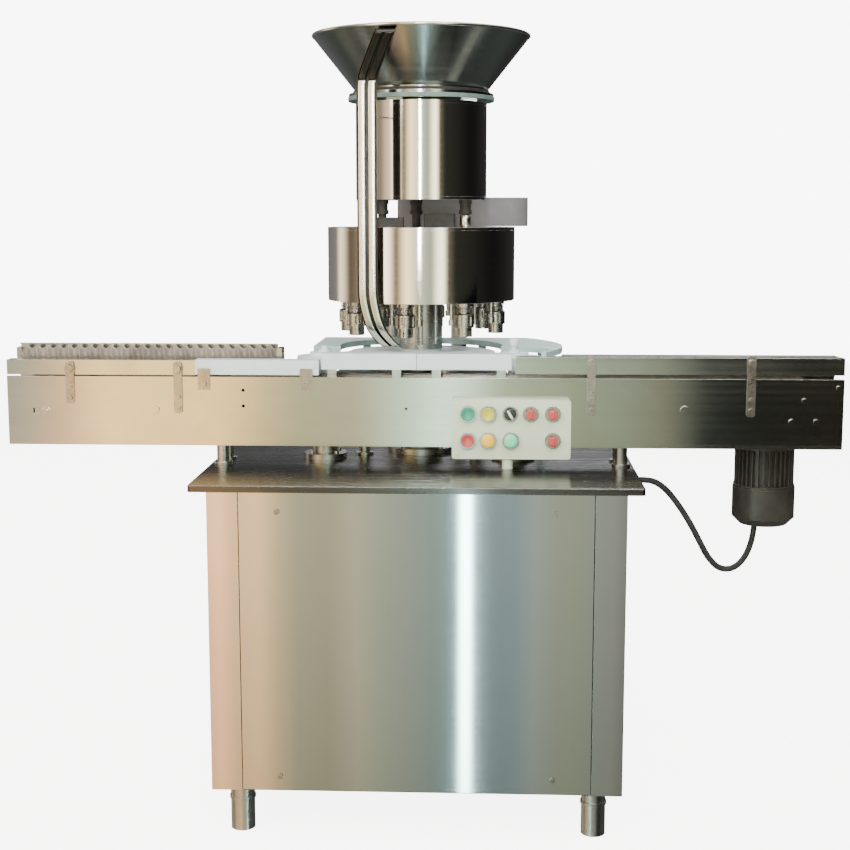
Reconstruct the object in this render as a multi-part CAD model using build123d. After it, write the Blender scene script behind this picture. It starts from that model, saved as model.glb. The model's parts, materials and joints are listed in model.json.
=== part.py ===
from build123d import *
import math
import os

# Capping machine: cabinet, table, slat conveyor, rotary turret with eight capping heads,
# vibrating feed bowl and cap chute. Millimetres, +Z up.
# Origin: on the floor, under the centre of the table. +X is the way the vials travel,
# -Y is the operator's side.

# ---------------------------------------------------------------- cabinet and table
TABLE_WIDTH = 860.0
TABLE_DEPTH = 860.0
TABLE_TOP = 708.0
TABLE_THICK = 14.0
TABLE_OVERHANG = 30.0
SHEET = 2.0
LEG_HEIGHT = 96.0
LEG_RADIUS = 24.0
LEG_INSET = 52.0
POST_SIZE = 40.0
CORNER_WIDTH = 60.0
PANEL_SEAM = 1.5
SCREW_RADIUS = 5.5
SCREW_INSET = (75.0, 42.0)
MID_RAIL_TOP = 400.0

# ---------------------------------------------------------------- conveyor
CONVEYOR_LENGTH = 1680.0
SIDE_BOTTOM = 748.0
SIDE_TOP = 888.0
SIDE_THICK = 3.0
LANE_Y = -160.0
LANE_GAP = 5.0
SLAT_WIDTH = 76.0
SLAT_PITCH = 38.1
SLAT_THICK = 3.0
SLAT_GAP = 0.6
SPROCKET_INSET = 77.0
SLATS_TOP_RUN = 2 * int((CONVEYOR_LENGTH / 2 - SPROCKET_INSET) / SLAT_PITCH + 0.01) + 1
SPROCKET_TEETH = 10
CHAIN_TOP = 878.0
SUPPORT_X = TABLE_WIDTH / 2 - 26.0
SUPPORT_RADIUS = 12.5
BEAM_SHAFT_RADIUS = 12.0
RUNNING = 0.05
FREE_GAP = 0.3

# ---------------------------------------------------------------- turret and stars
TURRET_X = -8.0
VIAL_RADIUS = 11.0
TURRET_PITCH = 160.0
TURRET_POCKETS = 8
STAR_PITCH = 60.0
STAR_POCKETS = 3
STAR_BACK = 60.0
POCKET_PLAY = 0.5
GUIDE_PLAY = 1.5
WHEEL_BELOW_PITCH = 3.0
WHEEL_BOTTOM = 898.0
WHEEL_TOP = 922.0
GUIDE_BOTTOM = 904.0
GUIDE_TOP = 936.0
FIRST_HEAD_ANGLE = 36.0
TURRET_SHAFT_RADIUS = 25.0
STAR_SHAFT_RADIUS = 12.5
GEAR_MODULE = 4.0
PRESSURE_ANGLE = 25.0
TURRET_GEAR_TEETH = 80
STAR_GEAR_TEETH = 30
SUN_TEETH = 66
PINION_TEETH = 14
GEAR_THICK = 20.0
GEAR_BACKLASH = 0.4
GEAR_LEVEL = 630.0
OUTER_GUIDE_RADIUS = 300.0

# ---------------------------------------------------------------- drum, heads, bowl
DRUM_RADIUS = 197.0
DRUM_BOTTOM = 1034.0
DRUM_TOP = 1186.0
DRUM_PLATE = 6.0
HEAD_BOTTOM = 965.0
SPINDLE_RADIUS = 12.0
CASING_RADIUS = 137.0
CASING_BOTTOM = 1242.0
CASING_TOP = 1440.0
BOWL_FLANGE_RADIUS = 151.0
BOWL_FLANGE_BOTTOM = 1444.0
BOWL_FLANGE_THICK = 15.0
BOWL_NECK_RADIUS = 140.0
BOWL_CONE_BOTTOM = 1468.0
BOWL_RIM_RADIUS = 225.0
BOWL_TOP = 1578.0
BOWL_WALL = 2.5
COLUMN_X = 75.0
COLUMN_Y = DRUM_RADIUS + 29.0
COLUMN_RADIUS = 18.0

# ---------------------------------------------------------------- derived places
TABLE_BOTTOM = TABLE_TOP - TABLE_THICK
CABINET_HALF_X = TABLE_WIDTH / 2 - TABLE_OVERHANG
CABINET_HALF_Y = TABLE_DEPTH / 2 - TABLE_OVERHANG
FRAME_HALF_X = CABINET_HALF_X - SHEET
FRAME_HALF_Y = CABINET_HALF_Y - SHEET
CONVEYOR_HALF = CONVEYOR_LENGTH / 2
LANE_HALF = SLAT_WIDTH / 2 + LANE_GAP
FRONT_OUT = LANE_Y - LANE_HALF - SIDE_THICK
FRONT_IN = LANE_Y - LANE_HALF
REAR_IN = LANE_Y + LANE_HALF
REAR_OUT = LANE_Y + LANE_HALF + SIDE_THICK
SPROCKET_X = (SLATS_TOP_RUN - 1) * SLAT_PITCH / 2
SPROCKET_APOTHEM = SLAT_PITCH / 2 / math.tan(math.pi / SPROCKET_TEETH)
SPROCKET_Z = CHAIN_TOP - SLAT_THICK / 2 - SPROCKET_APOTHEM
CENTRE_DISTANCE = TURRET_PITCH + STAR_PITCH
STAR_Y = LANE_Y + STAR_PITCH
STAR_DX = math.sqrt(CENTRE_DISTANCE ** 2 - STAR_Y ** 2)
STAR_X = (TURRET_X - STAR_DX, TURRET_X + STAR_DX)
TURRET_WHEEL_RADIUS = TURRET_PITCH - WHEEL_BELOW_PITCH
STAR_WHEEL_RADIUS = STAR_PITCH - WHEEL_BELOW_PITCH
GUIDE_REACH = VIAL_RADIUS + GUIDE_PLAY
HEAD_ANGLES = [FIRST_HEAD_ANGLE + 360.0 / TURRET_POCKETS * i for i in range(TURRET_POCKETS)]

# ---------------------------------------------------------------- motor and conduit
MOTOR_X = SPROCKET_X - 50.0
MOTOR_Y = REAR_OUT + 40.0
MOTOR_RADIUS = 58.0
MOTOR_TOP = 742.0
MOTOR_BODY_BOTTOM = 650.0
MOTOR_COVER_BOTTOM = 572.0
TERMINAL_Y = (MOTOR_Y + 62.0, MOTOR_Y + 104.0)
TERMINAL_BOTTOM = 666.0
CABLE_RADIUS = 6.5
GLAND_THREAD = 9.0
GLAND_PLAY = 0.6
CABLE_EXIT = (CABINET_HALF_X, -90.0, 662.0)
CABLE_END = (MOTOR_X, (TERMINAL_Y[0] + TERMINAL_Y[1]) / 2, TERMINAL_BOTTOM - 22.0)
# Each point of the conduit: its share of the way across from exit to end, then y and z.
CABLE_ROUTE = (
    (0.1026, -90, 662), (0.1859, -90, 664), (0.2692, -90, 661), (0.3462, -90, 644),
    (0.4263, -88, 613), (0.5064, -86, 575), (0.5769, -82, 534), (0.6410, -76, 496),
    (0.7276, -66, 468), (0.8333, -50, 466), (0.9231, -26, 486), (0.9776, -4, 520),
    (0.9968, 6, 562), (1.0, 7, 608),
)

# ---------------------------------------------------------------- rails, straps and worm
SPARE_HOLE_X = -358.0
SPARE_HOLES = (829.0, 861.0)
SPARE_HOLE_RADIUS = 3.2
LEFT_CHANNEL = (-CONVEYOR_HALF, -455.0, 891.0, 921.0)
NYLON_RAIL = (-455.0, -205.0, 892.0, 922.0)
RIGHT_CHANNEL = (190.0, CONVEYOR_HALF, 896.0, 930.0)
REAR_GUIDE_LEFT = (-CONVEYOR_HALF, -300.0, 891.0, 921.0)
REAR_GUIDE_RIGHT = (285.0, CONVEYOR_HALF, 896.0, 928.0)
STRAPS = (
    (-710.0, 833.0, 918.0), (-490.0, 814.0, 918.0), (341.0, 813.0, 934.0), (657.0, 813.0, 934.0),
)
STRAP_WIDTH = 17.0
STRAP_THICK = 4.0
SMALL_PLATES_X = (-437.0, -230.0)
SMALL_PLATE_LEVELS = (862.0, 905.0)
GUIDE_FRONT = LANE_Y - GUIDE_REACH
WORM_X = (-824.0, -300.0)
WORM_RADIUS = 22.0
WORM_PITCH = 22.0
WORM_CORE = 14.0
WORM_Y = LANE_Y + VIAL_RADIUS + 17.0
WORM_Z = 925.0
BLOCK_HALF = 190.0
WORM_GUARD_Y = WORM_Y + WORM_RADIUS + 3.0
WORM_GUARD_RISE = 26.0

# ---------------------------------------------------------------- carrier, heads and mounts
CARRIER_BOTTOM = 1044.0
CARRIER_THICK = 12.0
CARRIER_RADIUS = DRUM_RADIUS - SHEET - 5
PINION_LEVEL = 1088.0
CHUCK_RADIUS = 20.0
CHUCK_SHOULDER = 984.0
CHUCK_TOP = 1012.0
SPINDLE_BOTTOM = 1006.0
COLLAR_LEVELS = (1026.0, 1036.0)
MOUNT_RADIUS = 100.0
MOUNT_ANGLES = (219.0, 339.0, 99.0)

# ---------------------------------------------------------------- cap chute and belt guard
CHUTE_Y = 2.0 - DRUM_RADIUS
CHUTE_STATIONS = (
    (-61.0, -TURRET_PITCH, 946.0), (-78.0, -TURRET_PITCH - 20, 962.0), (-94.0, CHUTE_Y + 7, 992.0),
    (-106.0, CHUTE_Y, 1045.0), (-106.0, CHUTE_Y, 1473.0), (-101.0, CHUTE_Y - 4, 1488.0),
    (-66.0, -BOWL_RIM_RADIUS - 7, 1566.0),
)
CHUTE_HALF = 20.0
CHUTE_LIP = 17.5
CHUTE_LIP_THICK = 4.0
CHUTE_DEPTH = 7.0
DRUM_CLIP = (1100.0, 1120.0)
CASING_CLIP = (1400.0, 1414.0)
CLIP_HALF = 8.0
GUARD_X = (-68.0, 221.0)
GUARD_Y = (150.0, 236.0)
GUARD_TOP = 1249.0

# ---------------------------------------------------------------- control panel
PANEL_X = (64.0, 300.0)
PANEL_Z = (729.0, 848.0)
PANEL_DEPTH = 30.0
PANEL_FACE = FRONT_OUT - PANEL_DEPTH
ROW_TOP = 820.0
ROW_BOTTOM = 767.0
BUTTON_RADIUS = 13.0
BUTTON_TRAVEL = 4.0
BUTTONS = {"start_button": (95.5, ROW_TOP), "jog_button": (136.0, ROW_TOP),
           "stop_button": (95.5, ROW_BOTTOM)}
SELECTOR = (179.5, ROW_TOP)
KNOBS = ((220.5, ROW_TOP), (264.0, ROW_TOP), (264.5, ROW_BOTTOM))
LAMPS = ((136.0, ROW_BOTTOM), (181.0, ROW_BOTTOM))


def block(x0, x1, y0, y1, z0, z1):
    """A box between two corners."""
    middle = Pos((x0 + x1) / 2, (y0 + y1) / 2, (z0 + z1) / 2)
    return middle * Box(x1 - x0, y1 - y0, z1 - z0)


def rod_z(x, y, z0, z1, radius, bore=0.0):
    """An upright rod, or a tube where it has a bore."""
    rod = Pos(x, y, (z0 + z1) / 2) * Cylinder(radius, z1 - z0)
    if bore:
        rod -= Pos(x, y, (z0 + z1) / 2) * Cylinder(bore, z1 - z0 + 2)
    return rod


def rod_y(x, z, y0, y1, radius, bore=0.0):
    """A rod or tube along Y."""
    turn = Pos(x, (y0 + y1) / 2, z) * Rot(90, 0, 0)
    rod = turn * Cylinder(radius, y1 - y0)
    if bore:
        rod -= turn * Cylinder(bore, y1 - y0 + 2)
    return rod


def rod_x(y, z, x0, x1, radius, bore=0.0):
    """A rod or tube along X."""
    turn = Pos((x0 + x1) / 2, y, z) * Rot(0, 90, 0)
    rod = turn * Cylinder(radius, x1 - x0)
    if bore:
        rod -= turn * Cylinder(bore, x1 - x0 + 2)
    return rod


def prism(points, z0, z1):
    """An upright prism over an outline in plan."""
    return extrude(Pos(0, 0, z0) * make_face(Polyline(*points, close=True)), z1 - z0)


def polar(radius, degrees, x=0.0, y=0.0):
    """A point at a radius and an angle from (x, y)."""
    turn = math.radians(degrees)
    return (x + radius * math.cos(turn), y + radius * math.sin(turn))


def keep(name, *pieces):
    """Write one node: every piece stays a solid of its own."""
    solids = [solid for piece in pieces for solid in piece.solids()]
    shape = solids[0] if len(solids) == 1 else Compound(children=solids)
    export_step(shape, os.path.join("parts", name + ".step"))


def gear_outline(teeth, phase):
    """Involute outline in plan, with a tooth centred on the phase angle in degrees."""
    pitch = GEAR_MODULE * teeth / 2
    base = pitch * math.cos(math.radians(PRESSURE_ANGLE))
    tip = pitch + 0.9 * GEAR_MODULE
    root = pitch - 1.15 * GEAR_MODULE
    flank_at_pitch = math.tan(math.radians(PRESSURE_ANGLE)) - math.radians(PRESSURE_ANGLE)
    half = (math.pi * GEAR_MODULE / 2 - GEAR_BACKLASH) / 2 / pitch
    start = max(base, root + 0.2)
    radii = [start + (tip - start) * step / 4 for step in range(5)]
    flank = []
    for radius in radii:
        slope = math.acos(base / radius)
        flank.append((radius, half + flank_at_pitch - (math.tan(slope) - slope)))
    points = []
    for tooth in range(teeth):
        centre = math.radians(phase) + 2 * math.pi * tooth / teeth
        side = [(root, flank[0][1])] + flank
        for radius, angle in side:
            points.append((radius * math.cos(centre - angle), radius * math.sin(centre - angle)))
        for radius, angle in reversed(side):
            points.append((radius * math.cos(centre + angle), radius * math.sin(centre + angle)))
    return points


def gear(teeth, phase, x, y, z0, z1, bore):
    """A spur gear with a bore."""
    body = prism(gear_outline(teeth, phase), z0, z1)
    body = Pos(x, y, 0) * body
    return body - rod_z(x, y, z0 - 1, z1 + 1, bore)


def mesh_phase(sun_teeth, teeth, direction):
    """Phase of a gear that meshes, in a direction, with one whose tooth is at angle zero."""
    return direction + 180.0 - 180.0 / teeth + direction * sun_teeth / teeth


os.makedirs("parts", exist_ok=True)


# ---------------------------------------------------------------- cabinet
def cabinet_frame():
    """Four corner posts, two rings of rails and the cross beams that carry the drive."""
    fx, fy = FRAME_HALF_X, FRAME_HALF_Y
    frame = None
    for sx in (-1, 1):
        for sy in (-1, 1):
            post = Pos(sx * (fx - POST_SIZE / 2), sy * (fy - POST_SIZE / 2), 0)
            height = TABLE_BOTTOM - LEG_HEIGHT
            post = post * Pos(0, 0, LEG_HEIGHT + height / 2) * Box(POST_SIZE, POST_SIZE, height)
            frame = post if frame is None else frame + post
            gusset_x = sorted((sx * fx, sx * (fx - 100)))
            gusset_y = sorted((sy * fy, sy * (fy - 100)))
            frame += block(*gusset_x, *gusset_y, LEG_HEIGHT, LEG_HEIGHT + 8)
    for level in (LEG_HEIGHT, TABLE_BOTTOM - POST_SIZE):
        for side in (-1, 1):
            rail_y = sorted((side * fy, side * (fy - POST_SIZE)))
            rail_x = sorted((side * fx, side * (fx - POST_SIZE)))
            frame += block(-fx, fx, *rail_y, level, level + POST_SIZE)
            frame += block(*rail_x, -fy, fy, level, level + POST_SIZE)
    for beam_y in (-70, 70):
        frame += block(-fx, fx, beam_y - 20, beam_y + 20, MID_RAIL_TOP - 40, MID_RAIL_TOP)
    for side in (-1, 1):
        rail_x = sorted((side * fx, side * (fx - POST_SIZE)))
        frame += block(*rail_x, -fy, fy, MID_RAIL_TOP - 40, MID_RAIL_TOP)
    cable_y, cable_z = CABLE_EXIT[1:]
    return frame - rod_x(cable_y, cable_z, fx - 60, fx + 10, GLAND_THREAD + FREE_GAP)


def cabinet_skins():
    """Corner covers, the front panel and the other panels, all folded from one sheet size."""
    cx, cy = CABINET_HALF_X, CABINET_HALF_Y
    low, high = LEG_HEIGHT, TABLE_BOTTOM
    corners = []
    for sx in (-1, 1):
        for sy in (-1, 1):
            face_x = sorted((sx * cx, sx * (cx - CORNER_WIDTH)))
            skin_y = sorted((sy * cy, sy * (cy - SHEET)))
            skin_x = sorted((sx * cx, sx * (cx - SHEET)))
            face_y = sorted((sy * cy, sy * (cy - CORNER_WIDTH)))
            corners.append(block(*face_x, *skin_y, low, high) + block(*skin_x, *face_y, low, high))
    inner_x = cx - CORNER_WIDTH - PANEL_SEAM
    inner_y = cy - CORNER_WIDTH - PANEL_SEAM
    front = block(-inner_x, inner_x, -cy, -cy + SHEET, low + 2, high - 2)
    rear = block(-inner_x, inner_x, cy - SHEET, cy, low + 2, high - 2)
    for row in range(8):
        level = 220 + 22 * row
        rear -= block(-90, 90, cy - SHEET - 1, cy + 1, level, level + 6)
    left = block(-cx, -cx + SHEET, -inner_y, inner_y, low + 2, high - 2)
    right = block(cx - SHEET, cx, -inner_y, inner_y, low + 2, high - 2)
    right -= rod_x(CABLE_EXIT[1], CABLE_EXIT[2], cx - 10, cx + 10, GLAND_THREAD + FREE_GAP)
    pan = block(-FRAME_HALF_X + 41, FRAME_HALF_X - 41, -FRAME_HALF_Y + 41, FRAME_HALF_Y - 41,
                LEG_HEIGHT + 8, LEG_HEIGHT + 10)
    return corners, front, [rear, left, right, pan]


def panel_screws():
    """Domed screws near the corners of the four panels."""
    reach_x = CABINET_HALF_X - CORNER_WIDTH - SCREW_INSET[0]
    heights = (LEG_HEIGHT + 30, TABLE_BOTTOM - SCREW_INSET[1])
    head = Cylinder(SCREW_RADIUS, 3) + Pos(0, 0, 1.5) * Cylinder(SCREW_RADIUS * 0.6, 2)
    screws = []
    for side in range(4):
        for along in (-reach_x, reach_x):
            for height in heights:
                place = Rot(0, 0, 90 * side) * Pos(along, -CABINET_HALF_Y - 1.5, height)
                screws.append(place * Rot(90, 0, 0) * head)
    return screws


def legs():
    """Four round legs under the gussets, each with a foot plate inside its tube end."""
    tubes = []
    for sx in (-1, 1):
        for sy in (-1, 1):
            x = sx * (CABINET_HALF_X - LEG_INSET)
            y = sy * (CABINET_HALF_Y - LEG_INSET)
            leg = rod_z(x, y, 0, LEG_HEIGHT, LEG_RADIUS)
            leg += rod_z(x, y, LEG_HEIGHT - 34, LEG_HEIGHT - 28, LEG_RADIUS + 2)
            tubes.append(leg)
    return tubes


# The motor cable: a conduit from the cabinet's right side to the terminal box.


def table_top():
    """The table plate, with holes for the shafts' bearing housings."""
    half_x, half_y = TABLE_WIDTH / 2, TABLE_DEPTH / 2
    plate = block(-half_x, half_x, -half_y, half_y, TABLE_BOTTOM, TABLE_TOP)
    plate = fillet(plate.edges().filter_by(Axis.Z), 6)
    plate = chamfer(plate.faces().sort_by(Axis.Z)[-1].edges(), 1.5)
    plate -= rod_z(TURRET_X, 0, TABLE_BOTTOM - 5, TABLE_TOP + 5, TURRET_SHAFT_RADIUS + 20.3)
    for x in STAR_X:
        plate -= rod_z(x, STAR_Y, TABLE_BOTTOM - 5, TABLE_TOP + 5, STAR_SHAFT_RADIUS + 15.3)
    return plate


def flanged_housing(x, y, bore, body, flange, low, high):
    """A bearing housing through the table, with its bolted flange on top of the plate."""
    shape = rod_z(x, y, low, high, body)
    shape += rod_z(x, y, TABLE_TOP, TABLE_TOP + 12, flange)
    for turn in range(4):
        bolt_x, bolt_y = polar(flange - 9, 45 + 90 * turn, x, y)
        shape += rod_z(bolt_x, bolt_y, TABLE_TOP + 12, TABLE_TOP + 18, 5.5)
    return shape - rod_z(x, y, low - 1, high + 1, bore + RUNNING)


def bearing_housings():
    """Housings of the turret shaft and of the two star shafts."""
    turret = flanged_housing(TURRET_X, 0, TURRET_SHAFT_RADIUS, TURRET_SHAFT_RADIUS + 20,
                             TURRET_SHAFT_RADIUS + 45, TABLE_BOTTOM - 20, TABLE_TOP + 60)
    stars = [flanged_housing(x, STAR_Y, STAR_SHAFT_RADIUS, STAR_SHAFT_RADIUS + 15,
                             STAR_SHAFT_RADIUS + 32, TABLE_BOTTOM - 15, SIDE_BOTTOM - 4)
             for x in STAR_X]
    return [turret] + stars


def main_gearbox():
    """Worm gearbox under the turret shaft, standing on the cross beams."""
    low = MID_RAIL_TOP
    box = block(TURRET_X - 85, TURRET_X + 85, -85, 85, low, low + 130)
    box = fillet(box.edges().filter_by(Axis.Z), 14)
    box += rod_z(TURRET_X, 0, low + 130, low + 145, 55)
    box += block(TURRET_X - 85, TURRET_X + 85, -105, 105, low, low + 12)
    box += rod_x(0, low + 65, TURRET_X + 85, TURRET_X + 97, 62)
    return box - rod_z(TURRET_X, 0, low + 20, low + 150, TURRET_SHAFT_RADIUS + RUNNING)


def main_motor():
    """The main motor, bolted to the gearbox, with ribs round its shell and a fan cover."""
    axis_z = MID_RAIL_TOP + 65
    start = TURRET_X + 97
    motor = rod_x(0, axis_z, start, start + 12, 62)
    motor += rod_x(0, axis_z, start + 12, start + 190, 54)
    for turn in range(24):
        rib = Pos(start + 95, 0, axis_z) * Rot(15 * turn, 0, 0) * Pos(0, 0, 56) * Box(140, 2.5, 10)
        motor += rib
    motor += rod_x(0, axis_z, start + 190, start + 240, 60)
    motor += block(start + 50, start + 120, -35, 35, axis_z + 50, axis_z + 84)
    return motor


# ---------------------------------------------------------------- conveyor
def side_plate(outer, inner, lip_to):
    """One side plate with its folded lips along the top and the bottom."""
    plate = block(-CONVEYOR_HALF, CONVEYOR_HALF, *sorted((outer, inner)), SIDE_BOTTOM, SIDE_TOP)
    if lip_to:
        lip = sorted((inner, lip_to))
        plate += block(-CONVEYOR_HALF, CONVEYOR_HALF, *lip, SIDE_TOP - SIDE_THICK, SIDE_TOP)
        plate += block(-CONVEYOR_HALF, CONVEYOR_HALF, *lip, SIDE_BOTTOM, SIDE_BOTTOM + SIDE_THICK)
    return plate


def front_side_plate():
    """The front plate: tension slot, boss caps, rivets and the spare bracket holes."""
    plate = side_plate(FRONT_OUT, FRONT_IN, FRONT_IN + 4)
    slot = block(-SPROCKET_X - 26, -SPROCKET_X - 12, FRONT_OUT - 1, FRONT_IN + 1,
                 SPROCKET_Z - 5, SPROCKET_Z + 5)
    plate -= slot
    for height in SPARE_HOLES:
        plate -= rod_y(SPARE_HOLE_X, height, FRONT_OUT - 1, FRONT_IN + 1, SPARE_HOLE_RADIUS)
    plate -= rod_y(-29, 825, FRONT_OUT - 1, FRONT_IN + 1, 2.5)
    fixings = [rod_y(-538, 821, FRONT_OUT - 4, FRONT_OUT, 9)]
    fixings.append(rod_y(527, 825, FRONT_OUT - 4, FRONT_OUT, 9))
    for turn in (90, 210, 330):
        x, z = polar(28, turn, SPROCKET_X, SPROCKET_Z)
        fixings.append(rod_y(x, z, FRONT_OUT - 3, FRONT_OUT, 5))
    bolt = rod_y(-SPROCKET_X, SPROCKET_Z - 3, FRONT_OUT - 4, FRONT_OUT, 11)
    bolt += rod_y(-SPROCKET_X, SPROCKET_Z - 3, FRONT_OUT - 12, FRONT_OUT - 4, 7)
    fixings.append(bolt)
    fixings.append(rod_y(CONVEYOR_HALF - 12, 872, FRONT_OUT - 3, FRONT_OUT, 4))
    return [plate] + fixings


def rear_side_plate():
    """The rear plate with shaft holes, the two shaft bearings and the cross ties."""
    plate = side_plate(REAR_OUT, REAR_IN, REAR_IN - 4)
    plate -= rod_y(SPROCKET_X, SPROCKET_Z, REAR_IN - 1, REAR_OUT + 1, BEAM_SHAFT_RADIUS + RUNNING)
    pieces = [plate]
    for x in (-SPROCKET_X, SPROCKET_X):
        for low, high in ((FRONT_IN, FRONT_IN + 14), (REAR_IN - 14, REAR_IN)):
            pieces.append(rod_y(x, SPROCKET_Z, low, high, 24, BEAM_SHAFT_RADIUS + RUNNING))
    for x in (-600, -300, 0, 300, 600):
        pieces.append(rod_y(x, SPROCKET_Z, FRONT_IN, REAR_IN, 10))
        for side in (-1, 1):
            wear = LANE_Y + side * (SLAT_WIDTH / 2 - 8)
            top = CHAIN_TOP - SLAT_THICK - FREE_GAP
            pieces.append(block(x - 6, x + 6, wear - 3, wear + 3, SPROCKET_Z + 10, top - 8))
    for side in (-1, 1):
        wear = LANE_Y + side * (SLAT_WIDTH / 2 - 8)
        top = CHAIN_TOP - SLAT_THICK - FREE_GAP
        pieces.append(block(-SPROCKET_X + 40, SPROCKET_X - 40, wear - 5, wear + 5, top - 8, top))
    return pieces


def conveyor_supports():
    """Posts from the table to the conveyor with their collars, and the guide blocks' feet."""
    posts = []
    for x in (-SUPPORT_X, SUPPORT_X):
        for y in (FRONT_IN + 14, REAR_IN - 14):
            post = rod_z(x, y, TABLE_TOP, SIDE_BOTTOM, SUPPORT_RADIUS)
            post += rod_z(x, y, TABLE_TOP, TABLE_TOP + 6, SUPPORT_RADIUS + 6)
            posts.append(post)
        posts.append(block(x - 16, x + 16, FRONT_IN + 4, REAR_IN - 4, SIDE_BOTTOM, SIDE_BOTTOM + 6))
    for offset in (20 - BLOCK_HALF, -40, 40, BLOCK_HALF - 20):
        x = TURRET_X + offset
        posts.append(block(x - 9, x + 9, FRONT_OUT, FRONT_IN + 3, SIDE_TOP, GUIDE_BOTTOM))
    return posts


def slat_chain():
    """Slats of the top run, the return run and round both sprockets, each with its hinge."""
    half = SLAT_THICK / 2
    slat = Box(SLAT_PITCH - SLAT_GAP, SLAT_WIDTH, SLAT_THICK)
    slat += Pos(0, 0, -half - 4) * Box(SLAT_PITCH - 14, 26, 8)
    slats = []
    for index in range(SLATS_TOP_RUN):
        x = -SPROCKET_X + SLAT_PITCH * index
        slats.append(Pos(x, LANE_Y, SPROCKET_Z + SPROCKET_APOTHEM) * slat)
        slats.append(Pos(x, LANE_Y, SPROCKET_Z - SPROCKET_APOTHEM) * Rot(180, 0, 0) * slat)
    step = 360 / SPROCKET_TEETH
    for turn in range(1, SPROCKET_TEETH // 2):
        for side in (-1, 1):
            place = Pos(side * SPROCKET_X, LANE_Y, SPROCKET_Z) * Rot(0, side * step * turn, 0)
            slats.append(place * Pos(0, 0, SPROCKET_APOTHEM) * slat)
    return slats


def sprocket(x, shaft_back):
    """Two toothed discs on a shaft, clear of the slats all the way round."""
    outer = SPROCKET_APOTHEM - SLAT_THICK / 2 - 2 * FREE_GAP
    shaft = rod_y(x, SPROCKET_Z, FRONT_IN + 1, shaft_back, BEAM_SHAFT_RADIUS)
    for side in (-1, 1):
        y = LANE_Y + side * 20
        disc = rod_y(x, SPROCKET_Z, y - 4, y + 4, outer)
        for tooth in range(SPROCKET_TEETH):
            notch_x, notch_z = polar(outer + 2, 360 / SPROCKET_TEETH * (tooth + 0.5), x, SPROCKET_Z)
            disc -= rod_y(notch_x, notch_z, y - 5, y + 5, 8)
        shaft += disc
    shaft += rod_y(x, SPROCKET_Z, LANE_Y - 20, LANE_Y + 20, 20)
    return shaft


def conveyor_gearbox():
    """Worm gearbox behind the rear plate: output on the drive shaft, input from below."""
    low, high = SIDE_BOTTOM, SPROCKET_Z + 58
    x0, x1 = MOTOR_X - 50, SPROCKET_X + 52
    case = block(x0, x1, REAR_OUT, MOTOR_Y + 40, low, high)
    case = fillet(case.edges().filter_by(Axis.Y), 16)
    case += rod_y(SPROCKET_X, SPROCKET_Z, MOTOR_Y + 40, MOTOR_Y + 46, 34)
    case += rod_z(MOTOR_X, MOTOR_Y, MOTOR_TOP, low, MOTOR_RADIUS - 4)
    bore = BEAM_SHAFT_RADIUS + RUNNING
    return case - rod_y(SPROCKET_X, SPROCKET_Z, REAR_OUT - 1, MOTOR_Y + 30, bore)


def motor_housing():
    """The hanging motor: flange, ribbed shell and the pad for the terminal box."""
    body = rod_z(MOTOR_X, MOTOR_Y, MOTOR_BODY_BOTTOM, MOTOR_TOP, MOTOR_RADIUS - 6)
    body += rod_z(MOTOR_X, MOTOR_Y, MOTOR_TOP - 10, MOTOR_TOP, MOTOR_RADIUS + 4)
    body += rod_z(MOTOR_X, MOTOR_Y, MOTOR_BODY_BOTTOM, MOTOR_BODY_BOTTOM + 6, MOTOR_RADIUS + 5)
    for turn in range(32):
        rib = Pos(MOTOR_X, MOTOR_Y, 0) * Rot(0, 0, 11.25 * turn) * Pos(MOTOR_RADIUS - 3, 0, 0)
        middle = (MOTOR_BODY_BOTTOM + MOTOR_TOP) / 2 - 4
        body += rib * Pos(0, 0, middle) * Box(12, 2.6, MOTOR_TOP - MOTOR_BODY_BOTTOM - 10)
    pad_y = MOTOR_Y + 40
    body += block(MOTOR_X - 34, MOTOR_X + 34, pad_y, TERMINAL_Y[0], TERMINAL_BOTTOM, MOTOR_TOP - 14)
    return body - rod_z(MOTOR_X, MOTOR_Y, MOTOR_BODY_BOTTOM - 1, MOTOR_BODY_BOTTOM + 22, 9.05)


def motor_fan_cover():
    """Cup over the fan, chamfered at its bottom, with slots that let the air in."""
    cover = rod_z(MOTOR_X, MOTOR_Y, MOTOR_COVER_BOTTOM, MOTOR_BODY_BOTTOM, MOTOR_RADIUS + 6)
    cover = chamfer(cover.edges().sort_by(Axis.Z)[0], 15)
    inside = rod_z(MOTOR_X, MOTOR_Y, MOTOR_COVER_BOTTOM + 3, MOTOR_BODY_BOTTOM + 1, MOTOR_RADIUS + 3)
    inside = chamfer(inside.edges().sort_by(Axis.Z)[0], 15)
    cover -= inside
    for turn in range(6):
        place = Pos(MOTOR_X, MOTOR_Y, MOTOR_COVER_BOTTOM) * Rot(0, 0, 30 * turn)
        cover -= place * Pos(0, 0, 1) * (Box(74, 4, 10) - Box(22, 10, 10))
    return cover


def motor_fan():
    """Seven-bladed fan on the motor's shaft end."""
    middle = (MOTOR_COVER_BOTTOM + MOTOR_BODY_BOTTOM) / 2
    fan = rod_z(MOTOR_X, MOTOR_Y, middle - 14, MOTOR_BODY_BOTTOM + 20, 9)
    fan += rod_z(MOTOR_X, MOTOR_Y, middle - 14, middle + 14, 20)
    fan += rod_z(MOTOR_X, MOTOR_Y, middle + 11, middle + 14, 44)
    for turn in range(7):
        place = Pos(MOTOR_X, MOTOR_Y, middle) * Rot(0, 0, 360 / 7 * turn) * Pos(34, 0, 0)
        fan += place * Box(36, 3, 28)
    return fan


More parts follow.
